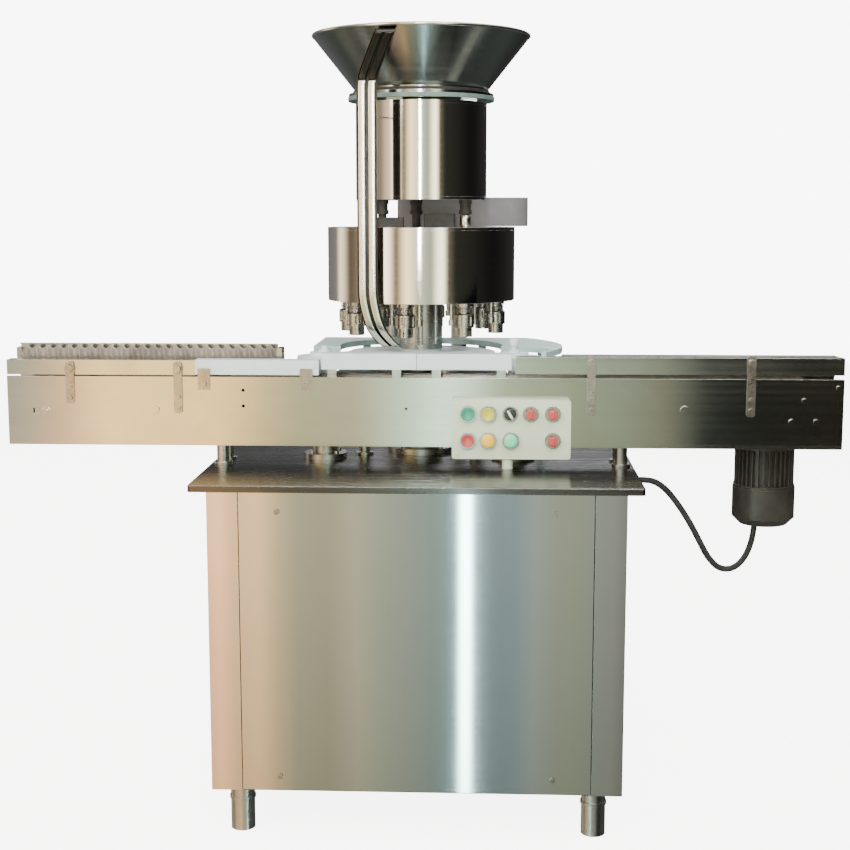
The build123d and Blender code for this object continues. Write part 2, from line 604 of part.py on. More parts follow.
def terminal_box():
    """Terminal box on the motor's back and its cable gland, and the gland at the cabinet."""
    low, high = TERMINAL_BOTTOM, MOTOR_TOP - 14
    box = block(MOTOR_X - 38, MOTOR_X + 38, *TERMINAL_Y, low, high)
    box = fillet(box.edges().filter_by(Axis.Y), 7)
    end_x, end_y, end_z = CABLE_END
    gland = rod_z(end_x, end_y, end_z, low, GLAND_THREAD, CABLE_RADIUS + GLAND_PLAY)
    gland += rod_z(end_x, end_y, low - 8, low, GLAND_THREAD + 3, CABLE_RADIUS + GLAND_PLAY)
    x, y, z = CABLE_EXIT
    exit_gland = rod_x(y, z, x - 8, x + 24, GLAND_THREAD, CABLE_RADIUS + GLAND_PLAY)
    exit_gland += rod_x(y, z, x, x + 8, GLAND_THREAD + 4, CABLE_RADIUS + GLAND_PLAY)
    return [box, gland, exit_gland]


def motor_cable():
    """The conduit as a tube along straight runs and tangent arcs; prints its radii."""
    span = CABLE_END[0] - CABLE_EXIT[0]
    points = [Vector(*CABLE_EXIT) + Vector(2, 0, 0)]
    points += [Vector(CABLE_EXIT[0] + span * share, y, z) for share, y, z in CABLE_ROUTE]
    points.append(Vector(CABLE_END[0], CABLE_END[1], CABLE_END[2] + 12))
    radii = []
    for index in range(1, len(points) - 1):
        before = points[index] - points[index - 1]
        after = points[index + 1] - points[index]
        turn = math.radians(before.get_angle(after))
        radii.append(0.45 * min(before.length, after.length) / math.tan(turn / 2))
    path = FilletPolyline(*points, radius=radii)
    tube = sweep(Plane(origin=path @ 0, z_dir=path % 0) * Circle(CABLE_RADIUS), path=path)
    print("cable radii", [round(radius) for radius in radii], "length", round(path.length, 1))
    print("cable volume ratio", tube.volume / (math.pi * CABLE_RADIUS ** 2 * path.length))
    return tube


# ---------------------------------------------------------------- guides


def channel(x0, x1, z0, z1):
    """A folded guide channel: front web with its flanges turned towards the lane."""
    front, back = FRONT_OUT + 2, GUIDE_FRONT
    rail = block(x0, x1, front, front + SHEET, z0, z1)
    rail += block(x0, x1, front, back, z0, z0 + SHEET)
    rail += block(x0, x1, front, back, z1 - SHEET, z1)
    rail += block(x0, x1, back - SHEET, back, z0, z0 + 12)
    return rail


def rail_brackets():
    """Upright straps on the front plate with screws, clamp bolts and two small plates."""
    pieces = []
    for x, low, high in STRAPS:
        half = STRAP_WIDTH / 2
        strap = block(x - half, x + half, FRONT_OUT - STRAP_THICK, FRONT_OUT, low, high)
        strap = fillet(strap.edges().filter_by(Axis.Y), 5)
        for height in (low + 12, low + 34):
            strap += rod_y(x, height, FRONT_OUT - STRAP_THICK - 3, FRONT_OUT - STRAP_THICK, 4.5)
        clamp = high - 14
        strap += rod_y(x, clamp, FRONT_OUT - STRAP_THICK - 9, FRONT_OUT - STRAP_THICK, 7)
        strap += rod_y(x, clamp, FRONT_OUT, FRONT_OUT + 2, 6)
        pieces.append(strap)
    low, high = SMALL_PLATE_LEVELS
    for x in SMALL_PLATES_X:
        plate = block(x - 12.5, x + 12.5, FRONT_OUT - SHEET, FRONT_OUT, low, high)
        plate += rod_y(x, low + 12, FRONT_OUT - SHEET - 3, FRONT_OUT - SHEET, 4.5)
        plate += rod_y(x, high - 7, FRONT_OUT, FRONT_OUT + 2, 5)
        pieces.append(plate)
    return pieces


def infeed_rear_guide():
    """Thin wall behind the worm with a folded top, and the two brackets that carry it."""
    x0, x1, _, z1 = REAR_GUIDE_LEFT
    back, top = WORM_GUARD_Y, z1 + WORM_GUARD_RISE
    rail = block(x0, x1, back, back + SHEET, SIDE_TOP, top)
    rail += block(x0, x1, back - 8, back, top - SHEET, top)
    pieces = [rail]
    for x in (x0 + 140, x1 - 100):
        bracket = block(x - 8, x + 8, REAR_OUT, back, SIDE_TOP - 30, SIDE_TOP - 2)
        bracket += block(x - 8, x + 8, back, back + 3, SIDE_TOP - 30, SIDE_TOP + 10)
        pieces.append(bracket - block(x - 9, x + 9, back, back + SHEET, SIDE_TOP, SIDE_TOP + 20))
    return pieces


def outfeed_rear_guide():
    """Folded channel behind the outgoing lane, on three short feet."""
    x0, x1, z0, z1 = REAR_GUIDE_RIGHT
    back, front = REAR_OUT - SHEET, LANE_Y + GUIDE_REACH
    rail = block(x0, x1, back, back + SHEET, z0, z1)
    rail += block(x0, x1, front, back, z1 - SHEET, z1)
    rail += block(x0, x1, front, front + SHEET, z0, z1)
    for x in (x0 + 20, (x0 + x1) / 2, x1 - 20):
        rail += block(x - 8, x + 8, REAR_OUT - SIDE_THICK, REAR_OUT, SIDE_TOP, z0 + 8)
    return rail


def worm_bearings():
    """The two bearing blocks of the worm's journals, standing on the rear plate."""
    pieces = []
    for x in (WORM_X[0] - 8, WORM_X[1] + 8):
        foot = block(x - 5, x + 5, REAR_IN, WORM_GUARD_Y, SIDE_TOP, WORM_Z + 16)
        foot += block(x - 5, x + 5, WORM_Y - 14, REAR_IN, WORM_Z - 16, WORM_Z + 16)
        pieces.append(foot - rod_x(WORM_Y, WORM_Z, x - 8, x + 8, 6 + RUNNING))
    return pieces


def infeed_worm():
    """Timing worm beside the infeed lane: journals and a body with grooves at its pitch."""
    worm = rod_x(WORM_Y, WORM_Z, WORM_X[0] - 16, WORM_X[1] + 16, 6)
    x0, x1 = WORM_X[0] + 3, WORM_X[1] - 3
    turns = int((x1 - x0) / WORM_PITCH)
    half = WORM_PITCH / 2
    outline = [(x0, 0.0), (x0, WORM_RADIUS)]
    for turn in range(turns):
        start = x0 + 2 + WORM_PITCH * turn
        outline += [(start + 1, WORM_RADIUS), (start + 5, WORM_CORE + 3), (start + half, WORM_CORE),
                    (start + WORM_PITCH - 5, WORM_CORE + 3), (start + WORM_PITCH - 1, WORM_RADIUS)]
    outline += [(x1, WORM_RADIUS), (x1, 0.0)]
    profile = make_face(Polyline(*[(x, r) for x, r in outline], close=True))
    body = revolve(profile, axis=Axis.X)
    return worm + Pos(0, WORM_Y, WORM_Z) * body


def outer_guide_plate():
    """The large guide plate round the turret and the stars, and its pillars."""
    low, high = GUIDE_TOP - 12, GUIDE_TOP
    plate = rod_z(TURRET_X, 0, low, high, OUTER_GUIDE_RADIUS)
    reach = OUTER_GUIDE_RADIUS + 10
    lane_back = LANE_Y + GUIDE_REACH
    keep_in = block(TURRET_X - 227, TURRET_X + reach, REAR_OUT + 1, 195, low - 1, high + 1)
    keep_in += block(STAR_X[1], TURRET_X + reach, lane_back, REAR_OUT + 2, low - 1, high + 1)
    plate = plate & keep_in
    plate -= rod_z(TURRET_X, 0, low - 1, high + 1, TURRET_PITCH + GUIDE_REACH)
    for x in STAR_X:
        plate -= rod_z(x, STAR_Y, low - 1, high + 1, STAR_PITCH + GUIDE_REACH)
    pillars = []
    for radius, angle in ((225, 55), (225, 125), (262, 10), (205, 170)):
        x, y = polar(radius, angle, TURRET_X, 0)
        post = rod_z(x, min(y, 150), TABLE_TOP, low, 9)
        post += rod_z(x, min(y, 150), TABLE_TOP, TABLE_TOP + 6, 16)
        pillars.append(post)
    return [plate] + pillars


def slide_plate():
    """Fixed ring that the vials slide on behind the conveyor, on three pillars."""
    low, high = CHAIN_TOP - 8, CHAIN_TOP
    ring = rod_z(TURRET_X, 0, low, high, TURRET_PITCH + 24, TURRET_SHAFT_RADIUS + 35)
    for x in STAR_X:
        ring += rod_z(x, STAR_Y, low, high, STAR_PITCH + 20)
    cut = OUTER_GUIDE_RADIUS + 20
    ring -= block(TURRET_X - cut, TURRET_X + cut, -cut, REAR_OUT + 1, low - 1, high + 1)
    for x in STAR_X:
        ring -= rod_z(x, STAR_Y, low - 1, high + 1, STAR_SHAFT_RADIUS + 8)
    pillars = []
    for angle in (90, 205, 335):
        x, y = polar(130, angle, TURRET_X, 0)
        pillars.append(rod_z(x, y, TABLE_TOP, low, 12) + rod_z(x, y, TABLE_TOP, TABLE_TOP + 6, 19))
    return [ring] + pillars


def front_guide_blocks():
    """Two blocks that fill the space between the stars and close the lane in front."""
    low, high = GUIDE_BOTTOM, GUIDE_TOP
    x0, x1 = TURRET_X - BLOCK_HALF, TURRET_X + BLOCK_HALF
    shape = block(x0, x1, FRONT_OUT, REAR_IN - 1, low, high)
    shape -= rod_z(TURRET_X, 0, low - 1, high + 1, TURRET_PITCH + 0.5)
    for x in STAR_X:
        shape -= rod_z(x, STAR_Y, low - 1, high + 1, STAR_PITCH + GUIDE_REACH)
    left = shape & block(x0 - 1, TURRET_X - 0.4, -400, 0, low - 1, high + 1)
    right = shape & block(TURRET_X + 0.4, x1 + 1, -400, 0, low - 1, high + 1)
    return [left, right]


# ---------------------------------------------------------------- turret and stars
def pocket_wheel(x, y, radius, pitch, count, first_angle, bore):
    """A flat wheel with round pockets for the vials on its pitch circle."""
    wheel = rod_z(x, y, WHEEL_BOTTOM, WHEEL_TOP, radius)
    wheel += rod_z(x, y, WHEEL_TOP, WHEEL_TOP + 8, bore + 18)
    for index in range(count):
        pocket_x, pocket_y = polar(pitch, first_angle + 360 / count * index, x, y)
        wheel -= rod_z(pocket_x, pocket_y, WHEEL_BOTTOM - 1, WHEEL_TOP + 1, VIAL_RADIUS + POCKET_PLAY)
    return wheel - rod_z(x, y, WHEEL_BOTTOM - 1, WHEEL_TOP + 9, bore + 0.02)


def star_assembly(index):
    """One star: its wheel, its shaft and the gear under the table."""
    x = STAR_X[index]
    meeting = math.degrees(math.atan2(STAR_Y, x - TURRET_X))
    nearest = round((meeting - FIRST_HEAD_ANGLE) * TURRET_POCKETS / 360)
    turret_pocket = FIRST_HEAD_ANGLE + 360 / TURRET_POCKETS * nearest
    ratio = TURRET_POCKETS / STAR_POCKETS
    first_angle = meeting + 180 + (meeting - turret_pocket) * ratio
    wheel = pocket_wheel(x, STAR_Y, STAR_WHEEL_RADIUS, STAR_PITCH, STAR_POCKETS, first_angle,
                         STAR_SHAFT_RADIUS)
    shaft = rod_z(x, STAR_Y, GEAR_LEVEL - 10, WHEEL_TOP + 14, STAR_SHAFT_RADIUS)
    top = WHEEL_TOP + 14
    if index:
        shaft += rod_z(x, STAR_Y, top, top + 6, 6) + Pos(x, STAR_Y, top + 14) * Sphere(11)
    else:
        shaft += rod_z(x, STAR_Y, top, top + 7, 7)
    phase = mesh_phase(TURRET_GEAR_TEETH, STAR_GEAR_TEETH, meeting)
    drive = gear(STAR_GEAR_TEETH, phase, x, STAR_Y, GEAR_LEVEL, GEAR_LEVEL + GEAR_THICK,
                 STAR_SHAFT_RADIUS + 0.02)
    return [wheel, shaft, drive]


def turret_shaft():
    """The main shaft, its large gear under the table and the sleeve below the carrier."""
    shaft = rod_z(TURRET_X, 0, MID_RAIL_TOP + 24, DRUM_TOP - DRUM_PLATE - 4, TURRET_SHAFT_RADIUS)
    wheel = gear(TURRET_GEAR_TEETH, 0, TURRET_X, 0, GEAR_LEVEL, GEAR_LEVEL + GEAR_THICK,
                 TURRET_SHAFT_RADIUS + 0.02)
    for turn in range(6):
        x, y = polar(95, 60 * turn, TURRET_X, 0)
        wheel -= rod_z(x, y, GEAR_LEVEL - 1, GEAR_LEVEL + GEAR_THICK + 1, 32)
    sleeve = rod_z(TURRET_X, 0, WHEEL_TOP + 8, CARRIER_BOTTOM, 45, TURRET_SHAFT_RADIUS + 0.02)
    for turn in range(8):
        x, y = polar(45, 45 * turn, TURRET_X, 0)
        sleeve -= rod_z(x, y, WHEEL_TOP + 18, CARRIER_BOTTOM - 10, 6)
    return [shaft, wheel, sleeve]


def head_carrier():
    """The carrier plate with a sleeve for each spindle and its pairs of guide rods."""
    low, high = CARRIER_BOTTOM, CARRIER_BOTTOM + CARRIER_THICK
    plate = rod_z(TURRET_X, 0, low, high, CARRIER_RADIUS)
    plate += rod_z(TURRET_X, 0, high, high + 19, 60)
    for angle in HEAD_ANGLES:
        x, y = polar(TURRET_PITCH, angle, TURRET_X, 0)
        plate += rod_z(x, y, high, PINION_LEVEL - 6, SPINDLE_RADIUS + 8)
        for side in (-1, 1):
            rod_x_at, rod_y_at = polar(TURRET_PITCH - 2, angle + side * 10.5, TURRET_X, 0)
            plate += rod_z(rod_x_at, rod_y_at, low - 50, low, 4)
            plate += rod_z(rod_x_at, rod_y_at, low - 56, low - 44, 6)
    for angle in HEAD_ANGLES:
        x, y = polar(TURRET_PITCH, angle, TURRET_X, 0)
        plate -= rod_z(x, y, low - 1, PINION_LEVEL, SPINDLE_RADIUS + RUNNING)
    return plate - rod_z(TURRET_X, 0, low - 1, high + 20, TURRET_SHAFT_RADIUS + 0.02)


def capping_head(angle):
    """One head: spindle, pinion, spring collar and the chuck with its three jaws."""
    x, y = polar(TURRET_PITCH, angle, TURRET_X, 0)
    spindle = rod_z(x, y, SPINDLE_BOTTOM, PINION_LEVEL + GEAR_THICK + 4, SPINDLE_RADIUS)
    phase = mesh_phase(SUN_TEETH, PINION_TEETH, angle)
    pinion = gear(PINION_TEETH, phase, x, y, PINION_LEVEL, PINION_LEVEL + GEAR_THICK,
                  SPINDLE_RADIUS + 0.02)
    collar = rod_z(x, y, *COLLAR_LEVELS, SPINDLE_RADIUS + 6, SPINDLE_RADIUS + 0.02)
    chuck = rod_z(x, y, CHUCK_SHOULDER, CHUCK_TOP, CHUCK_RADIUS)
    chuck += rod_z(x, y, HEAD_BOTTOM, CHUCK_SHOULDER, CHUCK_RADIUS - 4)
    chuck = chamfer(chuck.edges().filter_by(GeomType.CIRCLE).sort_by(Axis.Z)[-1], 3)
    chuck -= rod_z(x, y, HEAD_BOTTOM - 1, HEAD_BOTTOM + 14, VIAL_RADIUS)
    for turn in range(3):
        slit = Pos(x, y, HEAD_BOTTOM + 5) * Rot(0, 0, angle + 120 * turn) * Pos(13, 0, 0)
        chuck -= slit * Box(14, 3, 14)
    for turn in range(6):
        flat_x, flat_y = polar(CHUCK_RADIUS + 1.5, angle + 60 * turn, x, y)
        chuck -= rod_z(flat_x, flat_y, CHUCK_SHOULDER + 4, SPINDLE_BOTTOM, 4)
    chuck -= rod_z(x, y, SPINDLE_BOTTOM, CHUCK_TOP + 1, SPINDLE_RADIUS + 0.02)
    return [spindle, pinion, collar, chuck]


def sun_gear():
    """Fixed gear that the pinions roll round, hung from the drum's top plate by its tube."""
    bore = TURRET_SHAFT_RADIUS + RUNNING
    wheel = gear(SUN_TEETH, 0, TURRET_X, 0, PINION_LEVEL, PINION_LEVEL + GEAR_THICK, bore)
    return wheel + rod_z(TURRET_X, 0, PINION_LEVEL + GEAR_THICK, DRUM_TOP - DRUM_PLATE, 58, bore)


def drum_cover():
    """The drum's shell under its top plate, which reaches back to the columns."""
    plate_low = DRUM_TOP - DRUM_PLATE
    shell = rod_z(TURRET_X, 0, DRUM_BOTTOM, plate_low, DRUM_RADIUS, DRUM_RADIUS - SHEET)
    plate = rod_z(TURRET_X, 0, plate_low, DRUM_TOP, DRUM_RADIUS)
    plate += block(TURRET_X - 100, TURRET_X + 100, 150, COLUMN_Y + 24, plate_low, DRUM_TOP)
    return [shell, plate]


def rear_columns():
    """Two columns from the table to the drum's top plate, with collars on the table."""
    columns = []
    for side in (-1, 1):
        x = TURRET_X + side * COLUMN_X
        column = rod_z(x, COLUMN_Y, TABLE_TOP, DRUM_TOP - DRUM_PLATE, COLUMN_RADIUS)
        column += rod_z(x, COLUMN_Y, TABLE_TOP, TABLE_TOP + 22, COLUMN_RADIUS + 14)
        columns.append(column)
    columns.append(rod_z(TURRET_X - COLUMN_X, COLUMN_Y, DRUM_TOP, DRUM_TOP + 5, 9))
    return columns


# ---------------------------------------------------------------- feed bowl


def bowl_mounts():
    """Three rubber mounts on spacers, and the small box on the drum's top plate."""
    pieces = []
    for angle in MOUNT_ANGLES:
        x, y = polar(MOUNT_RADIUS, angle, TURRET_X, 0)
        if angle == MOUNT_ANGLES[0]:
            spacer = block(x - 30, x + 44, y - 16, y + 16, DRUM_TOP, DRUM_TOP + 20)
            spacer += rod_z(x, y, DRUM_TOP + 20, CASING_BOTTOM - 30, 9)
        else:
            spacer = rod_z(x, y, DRUM_TOP, CASING_BOTTOM - 30, 9)
        rubber = rod_z(x, y, CASING_BOTTOM - 30, CASING_BOTTOM, 13.5)
        waist = rod_z(x, y, CASING_BOTTOM - 21, CASING_BOTTOM - 9, 15, 11.5)
        pieces += [spacer, rubber - waist]
    box = block(TURRET_X + 7, TURRET_X + 72, -50, 0, DRUM_TOP, DRUM_TOP + 28)
    pieces.append(fillet(box.edges().filter_by(Axis.Z), 4))
    return pieces


def bowl_drive():
    """The casing under the bowl, its end plates, the magnet inside and three spring pads."""
    low, high = CASING_BOTTOM, CASING_TOP
    shell = rod_z(TURRET_X, 0, low + 6, high - 6, CASING_RADIUS, CASING_RADIUS - 3)
    base = rod_z(TURRET_X, 0, low, low + 6, CASING_RADIUS)
    lid = rod_z(TURRET_X, 0, high - 6, high, CASING_RADIUS)
    magnet = rod_z(TURRET_X, 0, low + 6, low + 110, 46)
    pads = []
    for turn in range(3):
        x, y = polar(100, 120 * turn, TURRET_X, 0)
        pads.append(block(x - 16, x + 16, y - 10, y + 10, high, BOWL_FLANGE_BOTTOM))
    return [shell, base, lid, magnet] + pads


def feed_bowl():
    """Flange ring, neck and wide cone of the bowl, with a low cone on its floor."""
    flange_top = BOWL_FLANGE_BOTTOM + BOWL_FLANGE_THICK
    slope = (BOWL_RIM_RADIUS - BOWL_NECK_RADIUS) / (BOWL_TOP - 4 - BOWL_CONE_BOTTOM)
    wall = BOWL_WALL * math.sqrt(1 + slope ** 2)
    outline = [
        (0, BOWL_FLANGE_BOTTOM), (BOWL_FLANGE_RADIUS, BOWL_FLANGE_BOTTOM),
        (BOWL_FLANGE_RADIUS, flange_top), (BOWL_NECK_RADIUS, flange_top),
        (BOWL_NECK_RADIUS, BOWL_CONE_BOTTOM), (BOWL_RIM_RADIUS, BOWL_TOP - 4),
        (BOWL_RIM_RADIUS, BOWL_TOP), (BOWL_RIM_RADIUS - wall, BOWL_TOP),
        (BOWL_NECK_RADIUS - wall, BOWL_CONE_BOTTOM + 4), (BOWL_NECK_RADIUS - wall, flange_top + 3),
        (50, flange_top + 3), (0, flange_top + 22),
    ]
    profile = make_face(Polyline(*[(r, 0, z) for r, z in outline], close=True))
    return Pos(TURRET_X, 0, 0) * revolve(profile, axis=Axis.Z)


def chute_loft(outline):
    """A straight-sided loft of one section through the stations of the chute."""
    sections = []
    for x, y, z in CHUTE_STATIONS:
        sections.append(Pos(x, y, z) * make_face(Polyline(*outline, close=True)))
    return loft(sections, ruled=True)


def chute_clip(levels, wall_radius):
    """A flat clip from the chute's back to the round wall behind it."""
    low, high = levels
    x, y, _ = CHUTE_STATIONS[3]
    clip = block(x - CLIP_HALF, x + CLIP_HALF, y + CHUTE_DEPTH + 2, 0, low, high)
    return clip - rod_z(TURRET_X, 0, low - 1, high + 1, wall_radius + FREE_GAP)


def cap_chute():
    """Two lipped rails and a back strip, with the clips to the drum and to the casing."""
    right = [(CHUTE_HALF - CHUTE_LIP, -CHUTE_LIP_THICK), (CHUTE_HALF, -CHUTE_LIP_THICK),
             (CHUTE_HALF, CHUTE_DEPTH), (CHUTE_HALF - 2, CHUTE_DEPTH), (CHUTE_HALF - 2, 0),
             (CHUTE_HALF - CHUTE_LIP, 0)]
    left = [(-x, y) for x, y in reversed(right)]
    back = [(-CHUTE_HALF, CHUTE_DEPTH), (CHUTE_HALF, CHUTE_DEPTH),
            (CHUTE_HALF, CHUTE_DEPTH + 2), (-CHUTE_HALF, CHUTE_DEPTH + 2)]
    clips = [chute_clip(DRUM_CLIP, DRUM_RADIUS), chute_clip(CASING_CLIP, CASING_RADIUS)]
    return [chute_loft(right), chute_loft(left), chute_loft(back)] + clips


def belt_cover():
    """Flat grey guard with a round right end, standing on the plate behind the drum."""
    x0, x1 = GUARD_X
    y0, y1 = GUARD_Y
    top = GUARD_TOP
    radius = (y1 - y0) / 2
    outer = block(x0, x1 - radius, y0, y1, DRUM_TOP, top)
    outer += rod_z(x1 - radius, (y0 + y1) / 2, DRUM_TOP, top, radius)
    inner = block(x0 + 2, x1 - radius, y0 + 2, y1 - 2, DRUM_TOP + 2, top - 2)
    inner += rod_z(x1 - radius, (y0 + y1) / 2, DRUM_TOP + 2, top - 2, radius - 2)
    return outer - inner


# ---------------------------------------------------------------- control panel


def panel_box():
    """Folded box with its lid, corner screws and the post that also steadies it."""
    box = block(*PANEL_X, PANEL_FACE, FRONT_OUT, *PANEL_Z)
    box = fillet(box.edges().filter_by(Axis.Y), 6)
    for x, z in BUTTONS.values():
        box -= rod_y(x, z, PANEL_FACE - 1, PANEL_FACE + 14, BUTTON_RADIUS + FREE_GAP)
    for x, z in (SELECTOR,) + KNOBS:
        box -= rod_y(x, z, PANEL_FACE - 1, PANEL_FACE + 10, 4 + RUNNING)
    pieces = [box]
    for x in (PANEL_X[0] + 9, PANEL_X[1] - 9):
        for z in (PANEL_Z[0] + 9, PANEL_Z[1] - 9):
            pieces.append(rod_y(x, z, PANEL_FACE - 2, PANEL_FACE, 3.2))
    pieces.append(rod_z(175, PANEL_FACE + 15, TABLE_TOP, PANEL_Z[0], 11))
    return pieces


def push_button(x, z):
    """A flat push button that slides in its bezel."""
    cap = rod_y(x, z, PANEL_FACE - 12, PANEL_FACE + 8, BUTTON_RADIUS)
    return chamfer(cap.faces().sort_by(Axis.Y)[0].edges(), 1.5)


def turning_knob(x, z, radius, pointer):
    """A knob on its stub, with a raised pointer bar across its face."""
    knob = rod_y(x, z, PANEL_FACE - 14, PANEL_FACE - 0.3, radius)
    knob = chamfer(knob.faces().sort_by(Axis.Y)[0].edges(), 2)
    knob += rod_y(x, z, PANEL_FACE - 0.3, PANEL_FACE + 8, 4)
    bar = Pos(x, PANEL_FACE - 16, z) * Rot(0, pointer, 0) * Box(6, 6, 2 * radius - 4)
    return knob + bar


def lamps_and_bezels():
    """Bezel rings of every control and the two lens caps."""
    pieces = []
    for x, z in list(BUTTONS.values()):
        pieces.append(rod_y(x, z, PANEL_FACE - 6, PANEL_FACE, 17, BUTTON_RADIUS + FREE_GAP))
    for x, z in (SELECTOR,) + KNOBS:
        pieces.append(rod_y(x, z, PANEL_FACE - 3, PANEL_FACE, 16, 12.5))
    for x, z in LAMPS:
        pieces.append(rod_y(x, z, PANEL_FACE - 6, PANEL_FACE, 17, BUTTON_RADIUS + FREE_GAP))
        lens = rod_y(x, z, PANEL_FACE - 13, PANEL_FACE, BUTTON_RADIUS)
        pieces.append(fillet(lens.faces().sort_by(Axis.Y)[0].edges(), 5))
    return pieces


# ---------------------------------------------------------------- write every node
corner_covers, front_panel, other_panels = cabinet_skins()
keep("cabinet_frame", cabinet_frame())
keep("corner_covers", *corner_covers)
keep("front_panel", front_panel)
keep("cabinet_panels", *other_panels)
keep("panel_screws", *panel_screws())
keep("legs", *legs())
keep("table_top", table_top())
keep("bearing_housings", *bearing_housings())
keep("main_gearbox", main_gearbox())
keep("main_motor", main_motor())
keep("front_side_plate", *front_side_plate())
keep("rear_side_plate", *rear_side_plate())
keep("conveyor_supports", *conveyor_supports())
keep("slat_chain", *slat_chain())
keep("drive_sprocket", sprocket(SPROCKET_X, MOTOR_Y + 28))
keep("idler_sprocket", sprocket(-SPROCKET_X, REAR_IN - 1))
keep("conveyor_gearbox", conveyor_gearbox())
keep("motor_housing", motor_housing())
keep("motor_fan_cover", motor_fan_cover())
keep("motor_fan", motor_fan())
keep("terminal_box", *terminal_box())
keep("motor_cable", motor_cable())
keep("guide_channels", channel(*LEFT_CHANNEL), channel(*RIGHT_CHANNEL))
keep("infeed_guide_rail", block(NYLON_RAIL[0], NYLON_RAIL[1], FRONT_OUT + 2, GUIDE_FRONT,
                                NYLON_RAIL[2], NYLON_RAIL[3]))
keep("rail_brackets", *rail_brackets())
keep("rear_guides", *infeed_rear_guide() + [outfeed_rear_guide()] + worm_bearings())
keep("infeed_worm", infeed_worm())
keep("outer_guide_plate", *outer_guide_plate())
keep("slide_plate", *slide_plate())
keep("front_guide_blocks", *front_guide_blocks())
keep("turret_star_wheel", pocket_wheel(TURRET_X, 0, TURRET_WHEEL_RADIUS, TURRET_PITCH,
                                       TURRET_POCKETS, FIRST_HEAD_ANGLE, TURRET_SHAFT_RADIUS))
keep("infeed_star", *star_assembly(0))
keep("outfeed_star", *star_assembly(1))
keep("turret_shaft", *turret_shaft())
keep("head_carrier", head_carrier())
for number, head_angle in enumerate(HEAD_ANGLES, start=1):
    keep("capping_head_" + str(number), *capping_head(head_angle))
keep("sun_gear", sun_gear())
keep("drum_cover", *drum_cover())
keep("rear_columns", *rear_columns())
keep("bowl_mounts", *bowl_mounts())
keep("bowl_drive", *bowl_drive())
keep("feed_bowl", feed_bowl())
keep("cap_chute", *cap_chute())
keep("belt_cover", belt_cover())
keep("panel_box", *panel_box())
for name, (x, z) in BUTTONS.items():
    keep(name, push_button(x, z))
keep("selector_switch", turning_knob(*SELECTOR, 12, -30))
for number, (x, z) in enumerate(KNOBS, start=1):
    keep("knob_" + str(number), turning_knob(x, z, 11, 0))
keep("lamps_and_bezels", *lamps_and_bezels())
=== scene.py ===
# %% [markdown]
# Rotary capping machine
#
# The machine is a folded steel cabinet with a table on it, a slat conveyor that crosses the
# table, and a turret of capping heads under a polished drum. A bowl on top feeds the caps down
# a chute. The CAD model already holds every plate, wheel and shaft at its real place, so this
# lesson loads it as a fixed frame and spends its steps on surfaces: first the camera and the
# cable, then the finishes, then the pieces whose shape is finer than the CAD solids.

# %% Load the frame
import json
import math
import bpy
import numpy as np
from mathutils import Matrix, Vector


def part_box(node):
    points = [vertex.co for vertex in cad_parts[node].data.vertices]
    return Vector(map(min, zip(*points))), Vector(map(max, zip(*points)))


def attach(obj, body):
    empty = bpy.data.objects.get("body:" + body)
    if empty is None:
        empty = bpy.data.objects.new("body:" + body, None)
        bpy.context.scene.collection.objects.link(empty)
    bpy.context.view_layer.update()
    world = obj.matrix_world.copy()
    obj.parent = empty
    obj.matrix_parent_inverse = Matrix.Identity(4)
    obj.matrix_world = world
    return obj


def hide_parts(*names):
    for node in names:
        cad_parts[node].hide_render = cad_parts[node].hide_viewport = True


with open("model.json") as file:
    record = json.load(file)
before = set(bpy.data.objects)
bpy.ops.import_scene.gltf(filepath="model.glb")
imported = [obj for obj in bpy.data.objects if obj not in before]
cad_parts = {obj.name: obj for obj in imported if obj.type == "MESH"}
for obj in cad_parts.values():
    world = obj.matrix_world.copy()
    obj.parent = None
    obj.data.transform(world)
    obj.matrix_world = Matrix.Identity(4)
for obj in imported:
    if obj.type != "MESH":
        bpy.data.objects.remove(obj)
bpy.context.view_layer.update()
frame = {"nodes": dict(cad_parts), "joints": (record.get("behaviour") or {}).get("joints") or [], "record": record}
nodes = frame["nodes"]

# %% [markdown]
# The camera stands in front of the machine, a little above the conveyor, with a normal lens.
# It looks slightly down, so the table's top shows as a thin band.

# %% Camera
CAMERA_PLACE = (0.1411, -3.1316, 1.2128)
CAMERA_DOWN = math.radians(8.163)
CAMERA_LEFT = math.radians(2.583)
camera_data = bpy.data.cameras.new("camera")
camera_data.sensor_width = 36.0
camera_data.lens = 62.3
camera = bpy.data.objects.new("camera", camera_data)
bpy.context.scene.collection.objects.link(camera)
camera.location = CAMERA_PLACE
camera.rotation_euler = (math.pi / 2 - CAMERA_DOWN, 0.0, CAMERA_LEFT)
bpy.context.scene.camera = camera

# %% [markdown]
# The motor cable is a dark flexible conduit. It leaves a gland in the cabinet's right side,
# sags below the table and climbs to the terminal box behind the motor. A conduit is one smooth
# line, so it is a NURBS curve with the route's points as its control points, and a round bevel
# gives it its thickness.

